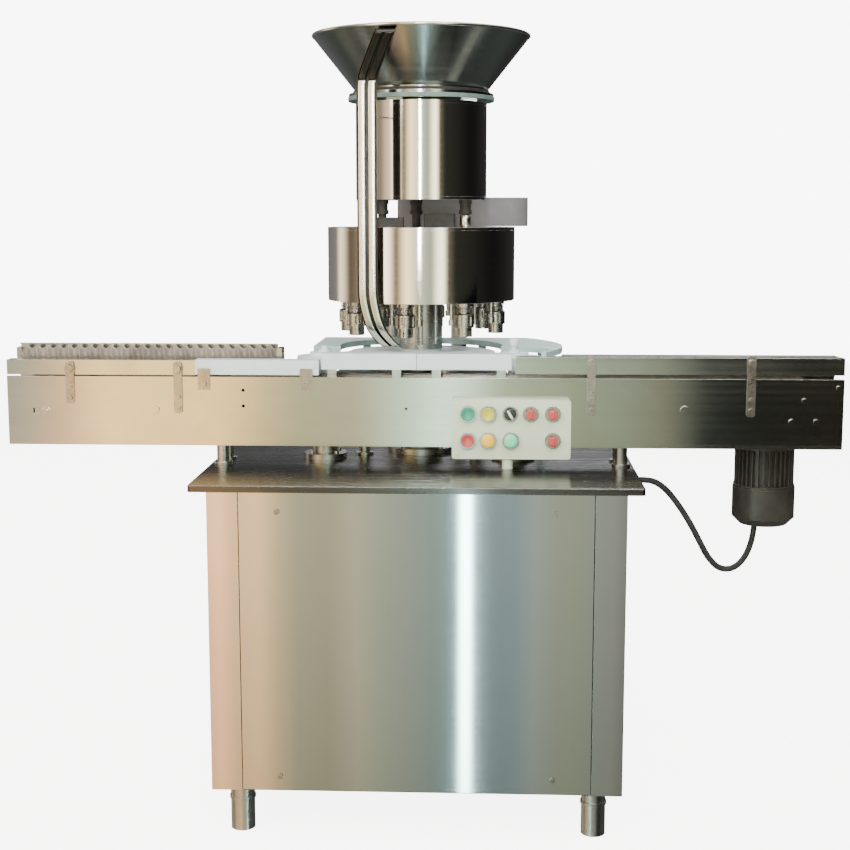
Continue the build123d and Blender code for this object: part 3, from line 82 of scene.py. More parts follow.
# %% Motor cable
CABLE_DIAMETER = 0.013
CABLE_ROUTE = [
    (0.402, -0.090, 0.662), (0.432, -0.090, 0.662), (0.458, -0.090, 0.664),
    (0.484, -0.090, 0.661), (0.508, -0.090, 0.644), (0.533, -0.088, 0.613),
    (0.558, -0.086, 0.575), (0.580, -0.082, 0.534), (0.600, -0.076, 0.496),
    (0.627, -0.066, 0.468), (0.660, -0.050, 0.466), (0.688, -0.026, 0.486),
    (0.705, -0.004, 0.520), (0.711, 0.006, 0.562), (0.712, 0.007, 0.608),
    (0.712, 0.007, 0.656),
]
cable_curve = bpy.data.curves.new("conduit_line", "CURVE")
cable_curve.dimensions = "3D"
cable_curve.bevel_depth = 1.0
cable_curve.bevel_resolution = 6
cable_curve.resolution_u = 8
cable_curve.use_fill_caps = True
spline = cable_curve.splines.new("NURBS")
spline.points.add(len(CABLE_ROUTE) - 1)
for control, place in zip(spline.points, CABLE_ROUTE):
    control.co = (*place, 1.0)
    control.radius = CABLE_DIAMETER / 2
spline.order_u = 3
spline.use_endpoint_u = True
cable = bpy.data.objects.new("conduit", cable_curve)
bpy.context.scene.collection.objects.link(cable)
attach(cable, "machine")
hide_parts("motor_cable")
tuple(CABLE_ROUTE[0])
print("cable control points", len(CABLE_ROUTE))

# %% [markdown]
# Two helpers make every new mesh. A grid of points, worked out with numpy as one array of
# shape (rows, columns, 3), becomes faces that join each point to the next row and column.

# %% Surface helpers
def add_object(name, mesh, body, slot):
    """Link a mesh as an object at the origin, smooth, riding on a body; the named finish slot is not used."""
    mesh.polygons.foreach_set("use_smooth", np.ones(len(mesh.polygons), bool))
    piece = bpy.data.objects.new(name, mesh)
    bpy.context.scene.collection.objects.link(piece)
    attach(piece, body)
    return piece


def grid_mesh(name, points, wrap_rows=False, wrap_columns=True, caps=True):
    """Quads over a grid of points P[i, j]; face (i, j) joins (i, j), (i, j+1), (i+1, j+1), (i+1, j).

    A wrapped direction joins its last line to its first. Open rows are closed by one face each.
    """
    rows, columns = points.shape[:2]
    row = np.arange(rows if wrap_rows else rows - 1)[:, None]
    column = np.arange(columns if wrap_columns else columns - 1)[None, :]
    next_row, next_column = (row + 1) % rows, (column + 1) % columns
    quads = np.stack([row * columns + column, row * columns + next_column,
                      next_row * columns + next_column, next_row * columns + column], axis=-1)
    faces = quads.reshape(-1, 4).tolist()
    if caps and not wrap_rows:
        faces.append(list(range(columns))[::-1])
        faces.append(list(range((rows - 1) * columns, rows * columns)))
    mesh = bpy.data.meshes.new(name)
    mesh.from_pydata(points.reshape(-1, 3).tolist(), [], faces)
    mesh.update()
    return mesh


def outward(mesh):
    """Turn the faces outwards where the signed volume, the sum of p0 . (p1 x p2) / 6, is negative."""
    mesh.calc_loop_triangles()
    corners = np.zeros(len(mesh.vertices) * 3)
    mesh.vertices.foreach_get("co", corners)
    corners = corners.reshape(-1, 3)
    triangles = np.zeros(len(mesh.loop_triangles) * 3, dtype=np.int32)
    mesh.loop_triangles.foreach_get("vertices", triangles)
    a, b, c = corners[triangles.reshape(-1, 3)].transpose(1, 0, 2)
    if np.einsum("ij,ij->i", a, np.cross(b, c)).sum() < 0:
        mesh.flip_normals()
    return mesh


def turned(name, outline, centre, steps=96):
    """Surface of revolution: (r, z) of the outline goes to (cx + r cos t, cy + r sin t, z)."""
    outline = np.asarray(outline, float)
    angle = np.linspace(0, 2 * np.pi, steps, endpoint=False)
    radius, height = outline[:, 0:1], outline[:, 1:2]
    points = np.stack([centre[0] + radius * np.cos(angle), centre[1] + radius * np.sin(angle),
                       np.broadcast_to(height, (len(outline), steps))], axis=-1)
    return outward(grid_mesh(name, points, wrap_rows=True))


# %% [markdown]
# Where the cable leaves each gland it wears a short rubber sleeve that thins towards its free
# end, so the conduit bends gently instead of kinking at the nut.

# %% Strain relief sleeves
def sleeve(name, start, direction, length, outer, inner):
    """Tapered tube with five grooves: outer radius falls linearly and dips 0.6 mm at each groove."""
    along = np.linspace(0, 1, 41)
    radius = outer + (inner + 0.0009 - outer) * along - 0.0006 * (np.sin(along * 10 * np.pi) > 0.4)
    ring = np.concatenate([radius, [inner, inner]])
    place = np.concatenate([along, [1.0, 0.0]]) * length
    angle = np.linspace(0, 2 * np.pi, 32, endpoint=False)
    axis = np.array(direction, float)
    side = np.array([0.0, 1.0, 0.0])
    other = np.cross(axis, side)
    points = (np.array(start) + place[:, None, None] * axis
              + ring[:, None, None] * (np.cos(angle)[None, :, None] * side
                                       + np.sin(angle)[None, :, None] * other))
    return add_object(name, outward(grid_mesh(name, points, wrap_rows=True)), "machine", "conduit")


relief_cabinet = sleeve("cabinet_strain_relief", (0.424, -0.090, 0.662), (1, 0, 0), 0.024, 0.0085, 0.0066)
relief_motor = sleeve("motor_strain_relief", (0.712, 0.007, 0.644), (0, 0, -1), 0.030, 0.0085, 0.0066)

# %% [markdown]
# Every metal on the machine was ground, folded and wiped for years, so three effects return
# in nearly all the finishes: fine grinding lines, cloudy stains and rubbed edges, whose lighter
# edge colour is also a painted highlight. Each one is a shader node group with its own inputs,
# built once and placed with other values each time.

# %% Shader group: grinding lines
def start_group(name, inputs, outputs):
    """New shader group with named sockets; returns the group with its two end nodes."""
    group = bpy.data.node_groups.new(name, "ShaderNodeTree")
    for socket, kind, value in inputs:
        item = group.interface.new_socket(socket, in_out="INPUT", socket_type=kind)
        if value is not None:
            item.default_value = value
    for socket, kind in outputs:
        group.interface.new_socket(socket, in_out="OUTPUT", socket_type=kind)
    return group, group.nodes.new("NodeGroupInput"), group.nodes.new("NodeGroupOutput")


def join(tree, start, end):
    """Link two sockets."""
    tree.links.new(start, end)


def value_range(tree, low, high, out_low=0.0, out_high=1.0):
    """Map Range node that takes low to out_low and high to out_high."""
    node = tree.nodes.new("ShaderNodeMapRange")
    node.inputs["From Min"].default_value = low
    node.inputs["From Max"].default_value = high
    node.inputs["To Min"].default_value = out_low
    node.inputs["To Max"].default_value = out_high
    return node


def fill_ramp(ramp, stops):
    """Spread stops, each a place and a colour, over the whole ramp."""
    first, last = stops[0][0], stops[-1][0]
    while len(ramp.elements) < len(stops):
        ramp.elements.new(0.5)
    for element, (place, _) in zip(ramp.elements, stops):
        element.position = (place - first) / (last - first)
    for element, (_, colour) in zip(ramp.elements, stops):
        element.color = (*colour, 1.0)


VECTOR, NUMBER = "NodeSocketVector", "NodeSocketFloat"

lines_group, lines_in, lines_out = start_group(
    "grinding_lines", [("Vector", VECTOR, None), ("Depth", NUMBER, 0.5)],
    [("Height", NUMBER), ("Shade", NUMBER)])
fine = lines_group.nodes.new("ShaderNodeTexNoise")
fine.inputs["Scale"].default_value = 1.0
fine.inputs["Detail"].default_value = 4.0
coarse = lines_group.nodes.new("ShaderNodeTexNoise")
coarse.inputs["Scale"].default_value = 0.23
coarse.inputs["Detail"].default_value = 2.0
depth = lines_group.nodes.new("ShaderNodeMath")
depth.operation = "MULTIPLY"
spread = lines_group.nodes.new("ShaderNodeMapRange")
spread.inputs["From Min"].default_value = 0.3
spread.inputs["From Max"].default_value = 0.7
join(lines_group, lines_in.outputs["Vector"], fine.inputs["Vector"])
join(lines_group, lines_in.outputs["Vector"], coarse.inputs["Vector"])
join(lines_group, fine.outputs["Fac"], depth.inputs[0])
join(lines_group, lines_in.outputs["Depth"], depth.inputs[1])
join(lines_group, depth.outputs[0], lines_out.inputs["Height"])
join(lines_group, coarse.outputs["Fac"], spread.inputs["Value"])
join(lines_group, spread.outputs["Result"], lines_out.inputs["Shade"])

# %% Shader group: cloudy stains
stain_group, stain_in, stain_out = start_group(
    "cloudy_stains", [("Vector", VECTOR, None), ("Scale", NUMBER, 4.0)], [("Mask", NUMBER)])
cloud = stain_group.nodes.new("ShaderNodeTexNoise")
cloud.inputs["Detail"].default_value = 6.0
cloud.inputs["Roughness"].default_value = 0.62
cloud.inputs["Distortion"].default_value = 0.8
clip = stain_group.nodes.new("ShaderNodeMapRange")
clip.inputs["From Min"].default_value = 0.35
clip.inputs["From Max"].default_value = 0.68
join(stain_group, stain_in.outputs["Vector"], cloud.inputs["Vector"])
join(stain_group, stain_in.outputs["Scale"], cloud.inputs["Scale"])
join(stain_group, cloud.outputs["Fac"], clip.inputs["Value"])
join(stain_group, clip.outputs["Result"], stain_out.inputs["Mask"])

# %% [markdown]
# A rubbed edge is where the rounded normal of a small bevel departs from the flat normal; the
# same mask carries a painted highlight along the edges. The bevel normal is also put out,
# because it rounds the reflections along sharp CAD edges.

# %% Shader group: rubbed and highlit edges
edge_group, edge_in, edge_out = start_group(
    "rubbed_and_highlit_edges", [("Radius", NUMBER, 0.001)], [("Mask", NUMBER), ("Normal", VECTOR)])
bevel = edge_group.nodes.new("ShaderNodeBevel")
bevel.samples = 4
surface = edge_group.nodes.new("ShaderNodeNewGeometry")
agree = edge_group.nodes.new("ShaderNodeVectorMath")
agree.operation = "DOT_PRODUCT"
# Mask of the edges: rubbed wear and a painted highlight.
rub = edge_group.nodes.new("ShaderNodeMapRange")
rub.inputs["From Min"].default_value = 0.99
rub.inputs["From Max"].default_value = 0.80
join(edge_group, edge_in.outputs["Radius"], bevel.inputs["Radius"])
join(edge_group, bevel.outputs["Normal"], agree.inputs[0])
join(edge_group, surface.outputs["Normal"], agree.inputs[1])
join(edge_group, agree.outputs["Value"], rub.inputs["Value"])
join(edge_group, rub.outputs["Result"], edge_out.inputs["Mask"])
join(edge_group, bevel.outputs["Normal"], edge_out.inputs["Normal"])

# %% [markdown]
# A finish is one material: two base colours mixed by the stains, a third colour on the edges
# that paints rubbed wear together with a highlight, a roughness that follows the lines, and a
# fine bump. Metals get long lines along the way they were ground; paint, rubber and plastic get
# an even texture instead.

# %% Finish builder
def finish(name, colour, stain, edge, metallic, smooth, rough, texture, bump, clouds=4.0,
           edge_radius=0.0009, coat=0.0):
    """Material with stain-mixed colour; roughness runs from smooth to rough along the lines."""
    material = bpy.data.materials.new(name)
    material.use_nodes = True
    tree = material.node_tree
    shader = tree.nodes["Principled BSDF"]
    place = tree.nodes.new("ShaderNodeTexCoord")
    stretch = tree.nodes.new("ShaderNodeMapping")
    stretch.inputs["Scale"].default_value = texture
    lines = tree.nodes.new("ShaderNodeGroup")
    lines.node_tree = lines_group
    stains = tree.nodes.new("ShaderNodeGroup")
    stains.node_tree = stain_group
    stains.inputs["Scale"].default_value = clouds
    edges = tree.nodes.new("ShaderNodeGroup")
    edges.node_tree = edge_group
    edges.inputs["Radius"].default_value = edge_radius
    join(tree, place.outputs["Object"], stretch.inputs["Vector"])
    join(tree, stretch.outputs["Vector"], lines.inputs["Vector"])
    join(tree, place.outputs["Object"], stains.inputs["Vector"])
    tint = tree.nodes.new("ShaderNodeMix")
    tint.data_type = "RGBA"
    tint.inputs["A"].default_value = (*colour, 1.0)
    tint.inputs["B"].default_value = (*stain, 1.0)
    join(tree, stains.outputs["Mask"], tint.inputs["Factor"])
    # The edge colour paints rubbed wear and a highlight along the edges.
    edge_rub_and_highlight = tree.nodes.new("ShaderNodeMix")
    edge_rub_and_highlight.data_type = "RGBA"
    edge_rub_and_highlight.inputs["B"].default_value = (*edge, 1.0)
    join(tree, edges.outputs["Mask"], edge_rub_and_highlight.inputs["Factor"])
    join(tree, tint.outputs["Result"], edge_rub_and_highlight.inputs["A"])
    join(tree, edge_rub_and_highlight.outputs["Result"], shader.inputs["Base Color"])
    sheen = tree.nodes.new("ShaderNodeMapRange")
    sheen.inputs["To Min"].default_value = smooth
    sheen.inputs["To Max"].default_value = rough
    mixed = tree.nodes.new("ShaderNodeMath")
    mixed.operation = "MULTIPLY_ADD"
    mixed.inputs[1].default_value = 0.45
    join(tree, stains.outputs["Mask"], mixed.inputs[0])
    half = tree.nodes.new("ShaderNodeMath")
    half.operation = "MULTIPLY"
    half.inputs[1].default_value = 0.55
    join(tree, lines.outputs["Shade"], half.inputs[0])
    join(tree, half.outputs[0], mixed.inputs[2])
    join(tree, mixed.outputs[0], sheen.inputs["Value"])
    join(tree, sheen.outputs["Result"], shader.inputs["Roughness"])
    relief = tree.nodes.new("ShaderNodeBump")
    relief.inputs["Strength"].default_value = 0.6
    relief.inputs["Distance"].default_value = bump
    join(tree, lines.outputs["Height"], relief.inputs["Height"])
    join(tree, edges.outputs["Normal"], relief.inputs["Normal"])
    join(tree, relief.outputs["Normal"], shader.inputs["Normal"])
    shader.inputs["Metallic"].default_value = metallic
    shader.inputs["Coat Weight"].default_value = coat
    return material


ALONG_X = (5.0, 600.0, 600.0)
ALONG_XY = (5.0, 5.0, 600.0)
UPRIGHT = (500.0, 500.0, 5.0)
EVEN = (900.0, 900.0, 900.0)
PEBBLE = (350.0, 350.0, 350.0)
# Edge colour of the steels: rubbed bright metal and a painted highlight along the edges.
STEEL_EDGE_RUB_AND_HIGHLIGHT = (0.86, 0.84, 0.80)

# %% [markdown]
# The sheet steels differ in how they were ground and in what they have seen. The cabinet is
# evenly brushed, the conveyor plates are warmer and more worn, the drum and the bowl's casing
# were polished almost to a mirror, and the table plate is given a very dark steel colour.

# %% Steel finishes
finishes = {
    "cabinet_sheet": finish("brushed_cabinet", (0.62, 0.62, 0.58), (0.56, 0.565, 0.535), STEEL_EDGE_RUB_AND_HIGHLIGHT,
                            1.0, 0.07, 0.12, (3.0, 3.0, 1500.0), 0.000004, clouds=1.1),
    # The table plate's pale edge colour over a wide bevel paints a highlight along its edges.
    "table_plate": finish("table_steel", (0.11, 0.105, 0.10), (0.07, 0.067, 0.065),
                          (0.80, 0.70, 0.66), 1.0, 0.16, 0.34, ALONG_X, 0.00004, clouds=5.0,
                          edge_radius=0.0025),
    "leg_steel": finish("leg_tube", (0.58, 0.59, 0.55), (0.44, 0.43, 0.38), STEEL_EDGE_RUB_AND_HIGHLIGHT,
                        1.0, 0.22, 0.42, UPRIGHT, 0.00005, clouds=14.0),
    "conveyor_sheet": finish("conveyor_steel", (0.60, 0.56, 0.51), (0.50, 0.46, 0.41), STEEL_EDGE_RUB_AND_HIGHLIGHT,
                             1.0, 0.10, 0.19, (3.0, 900.0, 900.0), 0.000008, clouds=2.4),
    "channel_steel": finish("channel_steel", (0.56, 0.56, 0.50), (0.46, 0.45, 0.40), STEEL_EDGE_RUB_AND_HIGHLIGHT,
                            1.0, 0.12, 0.24, ALONG_X, 0.00001, clouds=5.0),
    "mirror_steel": finish("polished_steel", (0.80, 0.775, 0.73), (0.74, 0.71, 0.66), STEEL_EDGE_RUB_AND_HIGHLIGHT,
                           1.0, 0.055, 0.13, ALONG_XY, 0.00001, clouds=3.0),
    "bowl_steel": finish("bowl_steel", (0.36, 0.385, 0.36), (0.26, 0.28, 0.265), STEEL_EDGE_RUB_AND_HIGHLIGHT,
                         1.0, 0.12, 0.24, ALONG_XY, 0.00003, clouds=4.0),
    "chute_steel": finish("chute_bars", (0.78, 0.74, 0.66), (0.66, 0.61, 0.52), STEEL_EDGE_RUB_AND_HIGHLIGHT,
                          1.0, 0.13, 0.26, UPRIGHT, 0.00003, clouds=8.0),
    "screw_steel": finish("fastener_steel", (0.40, 0.36, 0.31), (0.25, 0.22, 0.19), STEEL_EDGE_RUB_AND_HIGHLIGHT,
                          1.0, 0.22, 0.45, EVEN, 0.00004, clouds=40.0, edge_radius=0.0006),
    "machined_steel": finish("machined_steel", (0.50, 0.49, 0.47), (0.36, 0.34, 0.32), STEEL_EDGE_RUB_AND_HIGHLIGHT,
                             1.0, 0.20, 0.40, ALONG_XY, 0.00005, clouds=12.0),
    "chuck_steel": finish("chuck_steel", (0.42, 0.40, 0.37), (0.25, 0.235, 0.22), STEEL_EDGE_RUB_AND_HIGHLIGHT,
                          1.0, 0.16, 0.38, ALONG_XY, 0.00005, clouds=25.0, edge_radius=0.0007),
    "slat_steel": finish("slat_steel", (0.50, 0.48, 0.44), (0.38, 0.36, 0.32), STEEL_EDGE_RUB_AND_HIGHLIGHT,
                         1.0, 0.18, 0.40, ALONG_X, 0.00005, clouds=9.0, edge_radius=0.0006),
}

# %% [markdown]
# Castings, motors and guards are painted; the paint has a slight orange peel and is worn to
# grey metal or primer along its edges, and that lighter edge colour also paints a highlight
# there. Rubber and conduit are dull and dusty.

# %% Paint, rubber and casting finishes
finishes.update({
    "frame_paint": finish("frame_paint", (0.050, 0.053, 0.055), (0.035, 0.037, 0.038),
                          (0.20, 0.20, 0.195), 0.0, 0.42, 0.60, PEBBLE, 0.00012),
    "cast_case": finish("cast_paint", (0.17, 0.20, 0.225), (0.12, 0.14, 0.155),
                        (0.42, 0.42, 0.40), 0.0, 0.38, 0.62, PEBBLE, 0.0004, clouds=14.0),
    "motor_paint": finish("motor_paint", (0.024, 0.024, 0.020), (0.040, 0.037, 0.030),
                          (0.12, 0.115, 0.10), 0.0, 0.26, 0.46, PEBBLE, 0.00018, clouds=18.0),
    "guard_paint": finish("guard_paint", (0.205, 0.20, 0.215), (0.17, 0.165, 0.175),
                          (0.50, 0.50, 0.49), 0.0, 0.50, 0.68, PEBBLE, 0.0001, clouds=7.0),
    "panel_paint": finish("panel_enamel", (0.66, 0.76, 0.58), (0.60, 0.69, 0.52),
                          (0.80, 0.84, 0.74), 0.0, 0.28, 0.42, PEBBLE, 0.00008, clouds=9.0,
                          coat=0.25),
    "mount_rubber": finish("mount_rubber", (0.018, 0.018, 0.018), (0.035, 0.034, 0.032),
                           (0.06, 0.06, 0.058), 0.0, 0.55, 0.75, PEBBLE, 0.0002, clouds=30.0),
    "conduit": finish("conduit_rubber", (0.022, 0.022, 0.024), (0.045, 0.044, 0.043),
                      (0.07, 0.07, 0.07), 0.0, 0.38, 0.58, (40.0, 40.0, 40.0), 0.0002, clouds=30.0),
})

# %% [markdown]
# Plastics: nylon guide parts are bluish white with faint tool marks and grey rub marks, the
# round guide plate is a paler blue-green, and the buttons are glossy with a thin clear coat.

# %% Plastic finishes
finishes.update({
    "white_nylon": finish("white_nylon", (0.70, 0.83, 0.86), (0.60, 0.74, 0.77),
                          (0.84, 0.91, 0.92), 0.0, 0.30, 0.48, ALONG_X, 0.00003, clouds=9.0),
    "pale_guide": finish("pale_guide", (0.50, 0.68, 0.66), (0.42, 0.59, 0.57),
                         (0.66, 0.80, 0.78), 0.0, 0.26, 0.44, ALONG_X, 0.00003, clouds=5.0),
    "worm_acetal": finish("worm_acetal", (0.30, 0.26, 0.215), (0.17, 0.145, 0.12),
                          (0.58, 0.54, 0.48), 0.0, 0.24, 0.44, UPRIGHT, 0.00003, clouds=12.0),
    "fan_plastic": finish("fan_plastic", (0.030, 0.030, 0.030), (0.045, 0.044, 0.042),
                          (0.09, 0.09, 0.09), 0.0, 0.40, 0.60, PEBBLE, 0.0001),
    "terminal_plastic": finish("terminal_plastic", (0.050, 0.049, 0.044), (0.07, 0.067, 0.06),
                               (0.14, 0.14, 0.13), 0.0, 0.35, 0.55, PEBBLE, 0.0002),
    "green_plastic": finish("green_button", (0.020, 0.33, 0.20), (0.018, 0.27, 0.165),
                            (0.10, 0.48, 0.33), 0.0, 0.16, 0.30, EVEN, 0.00002, coat=0.3),
    "yellow_plastic": finish("yellow_button", (0.66, 0.62, 0.055), (0.56, 0.53, 0.05),
                             (0.80, 0.77, 0.22), 0.0, 0.16, 0.30, EVEN, 0.00002, coat=0.3),
    "red_plastic": finish("red_button", (0.56, 0.085, 0.075), (0.47, 0.065, 0.06),
                          (0.72, 0.22, 0.19), 0.0, 0.16, 0.32, EVEN, 0.00002, coat=0.3),
    "black_plastic": finish("black_knob", (0.012, 0.012, 0.013), (0.020, 0.020, 0.020),
                            (0.08, 0.08, 0.08), 0.0, 0.18, 0.34, EVEN, 0.00002, coat=0.3),
    "lamp_plastic": finish("bezel_ring", (0.46, 0.46, 0.44), (0.34, 0.34, 0.32),
                           (0.75, 0.75, 0.73), 1.0, 0.18, 0.34, EVEN, 0.00002),
})

# %% [markdown]
# The record names one finish slot for every node, so the CAD nodes are dressed in one loop.

# %% Dress the CAD nodes
slot_of = {entry["node"]: entry["material_slot"] for entry in frame["record"]["subparts"]}
for node_name, node in nodes.items():
    node.data.materials.clear()
    node.data.materials.append(finishes[slot_of[node_name]])
for dark_piece in (cable, relief_cabinet, relief_motor):
    dark_piece.data.materials.append(finishes["conduit"])
print("finishes", len(finishes))

# %% [markdown]
# The timing worm spaces the vials before the star wheel. It is a turned acetal screw, so its
# radius depends on both the distance along it and the angle round it: the groove moves one
# pitch along for each turn. A grid over those two numbers gives the whole screw at once.

# %% Timing worm
worm_low, worm_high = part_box("infeed_worm")
WORM_AXIS = ((worm_low.y + worm_high.y) / 2, (worm_low.z + worm_high.z) / 2)
WORM_PITCH = 0.022
WORM_OUTER = (worm_high.z - worm_low.z) / 2
WORM_GROOVE = 0.0085
WORM_JOURNAL = 0.0060
WORM_SHOULDER = 0.013


def worm_surface():
    """Radius = outer - groove * (0.5 + 0.5 cos(2 pi (x / pitch) - t)) ** 0.7, with plain journals."""
    x0, x1 = worm_low.x + WORM_SHOULDER, worm_high.x - WORM_SHOULDER
    along = np.linspace(x0, x1, int((x1 - x0) / WORM_PITCH * 22))
    angle = np.linspace(0, 2 * np.pi, 48, endpoint=False)
    wave = 0.5 + 0.5 * np.cos(2 * np.pi * along[:, None] / WORM_PITCH - angle[None, :])
    radius = WORM_OUTER - WORM_GROOVE * wave ** 0.7
    journal = np.full((1, 48), WORM_JOURNAL)
    collar = np.full((1, 48), WORM_OUTER - WORM_GROOVE)
    radius = np.concatenate([journal, journal, collar, radius, collar, journal, journal])
    along = np.concatenate([[worm_low.x, x0, x0], along, [x1, x1, worm_high.x]])
    points = np.stack([np.broadcast_to(along[:, None], radius.shape),
                       WORM_AXIS[0] + radius * np.cos(angle),
                       WORM_AXIS[1] + radius * np.sin(angle)], axis=-1)
    return outward(grid_mesh("timing_worm", points))


worm = add_object("timing_worm", worm_surface(), "infeed_worm", "worm_acetal")
worm.data.materials.append(finishes["worm_acetal"])
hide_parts("infeed_worm")
print("worm faces", len(worm.data.polygons))

# %% [markdown]
# Inside the bowl a narrow shelf climbs the cone in a spiral; the vibration walks the caps up
# it. The shelf is a small rectangle carried along a spiral whose radius follows the cone. The
# rim is rolled over a wire, which is a ring of round section, and a rubber band closes the
# joint between the bowl's flange and its casing.

# %% Bowl shelf, rolled rim and flange band
bowl_low, bowl_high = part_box("feed_bowl")
BOWL_X = (bowl_low.x + bowl_high.x) / 2
BOWL_Y = (bowl_low.y + bowl_high.y) / 2
RIM_RADIUS = (bowl_high.x - bowl_low.x) / 2
CONE_FOOT = (0.1368, bowl_low.z + 0.028)
CONE_HEAD = (RIM_RADIUS - 0.0032, bowl_high.z)


def cone_radius(height):
    """Inner radius of the cone: a straight line between its foot and its head."""
    share = np.clip((height - CONE_FOOT[1]) / (CONE_HEAD[1] - CONE_FOOT[1]), 0, 1)
    return CONE_FOOT[0] + (CONE_HEAD[0] - CONE_FOOT[0]) * share


def spiral_shelf(turns=2.6, width=0.020, thick=0.0016):
    """Shelf corner k at turn t: radius cone(z) - reach_k, height z(t) + lift_k, angle 2 pi t."""
    turn = np.linspace(0, turns, 260)
    height = bowl_low.z + 0.030 + (bowl_high.z - bowl_low.z - 0.052) * turn / turns
    reach = np.array([-0.0004, width, width, width - thick, width - thick, -0.0004])
    lift = np.array([0.0, 0.0, 0.0045, 0.0045, thick, thick])
    radius = cone_radius(height)[:, None] - reach[None, :]
    angle = 2 * np.pi * turn[:, None] + 2.2
    points = np.stack([BOWL_X + radius * np.cos(angle), BOWL_Y + radius * np.sin(angle),
                       height[:, None] + lift[None, :]], axis=-1)
    return outward(grid_mesh("spiral_shelf", points))


def ring(name, radius, height, half_width, half_height, power=1.0):
    """Ring of rounded section: (R + a sign(cos) |cos| ** p, z + b sign(sin) |sin| ** p)."""
    section = np.linspace(0, 2 * np.pi, 20, endpoint=False)
    out = np.sign(np.cos(section)) * np.abs(np.cos(section)) ** power * half_width
    up = np.sign(np.sin(section)) * np.abs(np.sin(section)) ** power * half_height
    return turned(name, np.stack([radius + out, height + up], axis=-1), (BOWL_X, BOWL_Y), 160)


shelf = add_object("spiral_shelf", spiral_shelf(), "bowl", "bowl_steel")
rim = add_object("rolled_rim", ring("rolled_rim", RIM_RADIUS - 0.0015, bowl_high.z - 0.0015,
                                    0.0036, 0.0036), "bowl", "bowl_steel")
band = add_object("flange_band", ring("flange_band", 0.1505, bowl_low.z + 0.0048,
                                      0.0022, 0.0044, 0.4), "bowl", "pale_guide")
# A thin dark rubber ring above the flange band paints the shadow line at the casing's neck.
neck_shadow_ring = add_object("neck_shadow_ring", ring("neck_shadow_ring", 0.1408, bowl_low.z + 0.0185,
                                         0.0014, 0.0030, 0.4), "bowl", "mount_rubber")
finishes["teal_band"] = finish("teal_band", (0.17, 0.25, 0.24), (0.10, 0.16, 0.155),
                               (0.16, 0.28, 0.26), 0.0, 0.35, 0.55, PEBBLE, 0.0001, clouds=12.0)
finishes["rim_steel"] = finish("rim_steel", (0.62, 0.60, 0.54), (0.48, 0.46, 0.41), STEEL_EDGE_RUB_AND_HIGHLIGHT,
                               1.0, 0.12, 0.25, EVEN, 0.00002, clouds=10.0)
shelf.data.materials.append(finishes["bowl_steel"])
rim.data.materials.append(finishes["rim_steel"])
band.data.materials.append(finishes["teal_band"])
neck_shadow_ring.data.materials.append(finishes["mount_rubber"])

# The front right mount stands on a bright turned sleeve, a cylinder with softened ends.
SLEEVE_PLACE = (0.0854, -0.0358)
sleeve_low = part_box("drum_cover")[1].z
SLEEVE_PROFILE = np.array([(0.0090, 0.0002), (0.0108, 0.0002), (0.0116, 0.0010),
                           (0.0116, 0.0236), (0.0108, 0.0244), (0.0090, 0.0244)])
SLEEVE_PROFILE[:, 1] += sleeve_low
spacer_sleeve = add_object("spacer_sleeve", turned("spacer_sleeve", SLEEVE_PROFILE, SLEEVE_PLACE, 64),
                           "machine", "machined_steel")
spacer_sleeve.data.materials.append(finishes["rim_steel"])
print("shelf faces", len(shelf.data.polygons))

# %% [markdown]
# The caps come down between two polished bars in front of a dark back strip. Each bar is a
# rounded section carried along one smooth path from the bowl's rim, straight down past the
# drum, and in under the heads. The path's corners are softened by averaging nearby points,
# because the real bars were bent round a former. The two lowest stations stand 8 and 12 mm
# nearer the turret than the CAD chute does, and the casing clip is slimmer than the CAD's.

# %% Cap chute
CHUTE_STATIONS = np.array([
    (-0.061, -0.152, 0.946), (-0.078, -0.168, 0.962), (-0.094, -0.188, 0.992),
    (-0.106, -0.195, 1.045), (-0.106, -0.195, 1.473), (-0.101, -0.199, 1.488),
    (-0.066, -0.232, 1.566)])
BAR_OFFSET = 0.0100
BAR_HALF = 0.0072
# Height above which the bars carry a painted shade.
LEANING_SHADE_START = 1.476


def chute_path(count=140, blur=9):
    """Even points along the stations; each inner point is the mean of its neighbours."""
    step = np.linalg.norm(np.diff(CHUTE_STATIONS, axis=0), axis=1)
    travel = np.concatenate([[0.0], np.cumsum(step)])
    even = np.linspace(0.0, travel[-1], count)
    path = np.stack([np.interp(even, travel, CHUTE_STATIONS[:, k]) for k in range(3)], axis=-1)
    padded = np.concatenate([np.repeat(path[:1], blur // 2, 0), path, np.repeat(path[-1:], blur // 2, 0)])
    soft = np.stack([np.convolve(padded[:, k], np.ones(blur) / blur, "valid") for k in range(3)], axis=-1)
    soft[0], soft[-1] = path[0], path[-1]
    return soft


def carried(name, path, centre_x, centre_y, half_x, half_y, power):
    """Superellipse section |x/a|^n + |y/b|^n = 1, level, moved to each point of the path."""
    angle = np.linspace(0, 2 * np.pi, 24, endpoint=False)
    section_x = centre_x + half_x * np.sign(np.cos(angle)) * np.abs(np.cos(angle)) ** power
    section_y = centre_y + half_y * np.sign(np.sin(angle)) * np.abs(np.sin(angle)) ** power
    points = np.stack([path[:, 0:1] + section_x, path[:, 1:2] + section_y,
                       np.broadcast_to(path[:, 2:3], (len(path), 24))], axis=-1)
    return outward(grid_mesh(name, points))


# Dark finish of the back strip and walls; on the bars' leaning tops it is a painted shade.
finishes["dark_strip_and_bar_shade"] = finish("dark_strip_and_bar_shade", (0.055, 0.05, 0.045), (0.035, 0.032, 0.03),
                                (0.30, 0.28, 0.25), 1.0, 0.22, 0.40, UPRIGHT, 0.00003, clouds=12.0)
whole_path = chute_path()
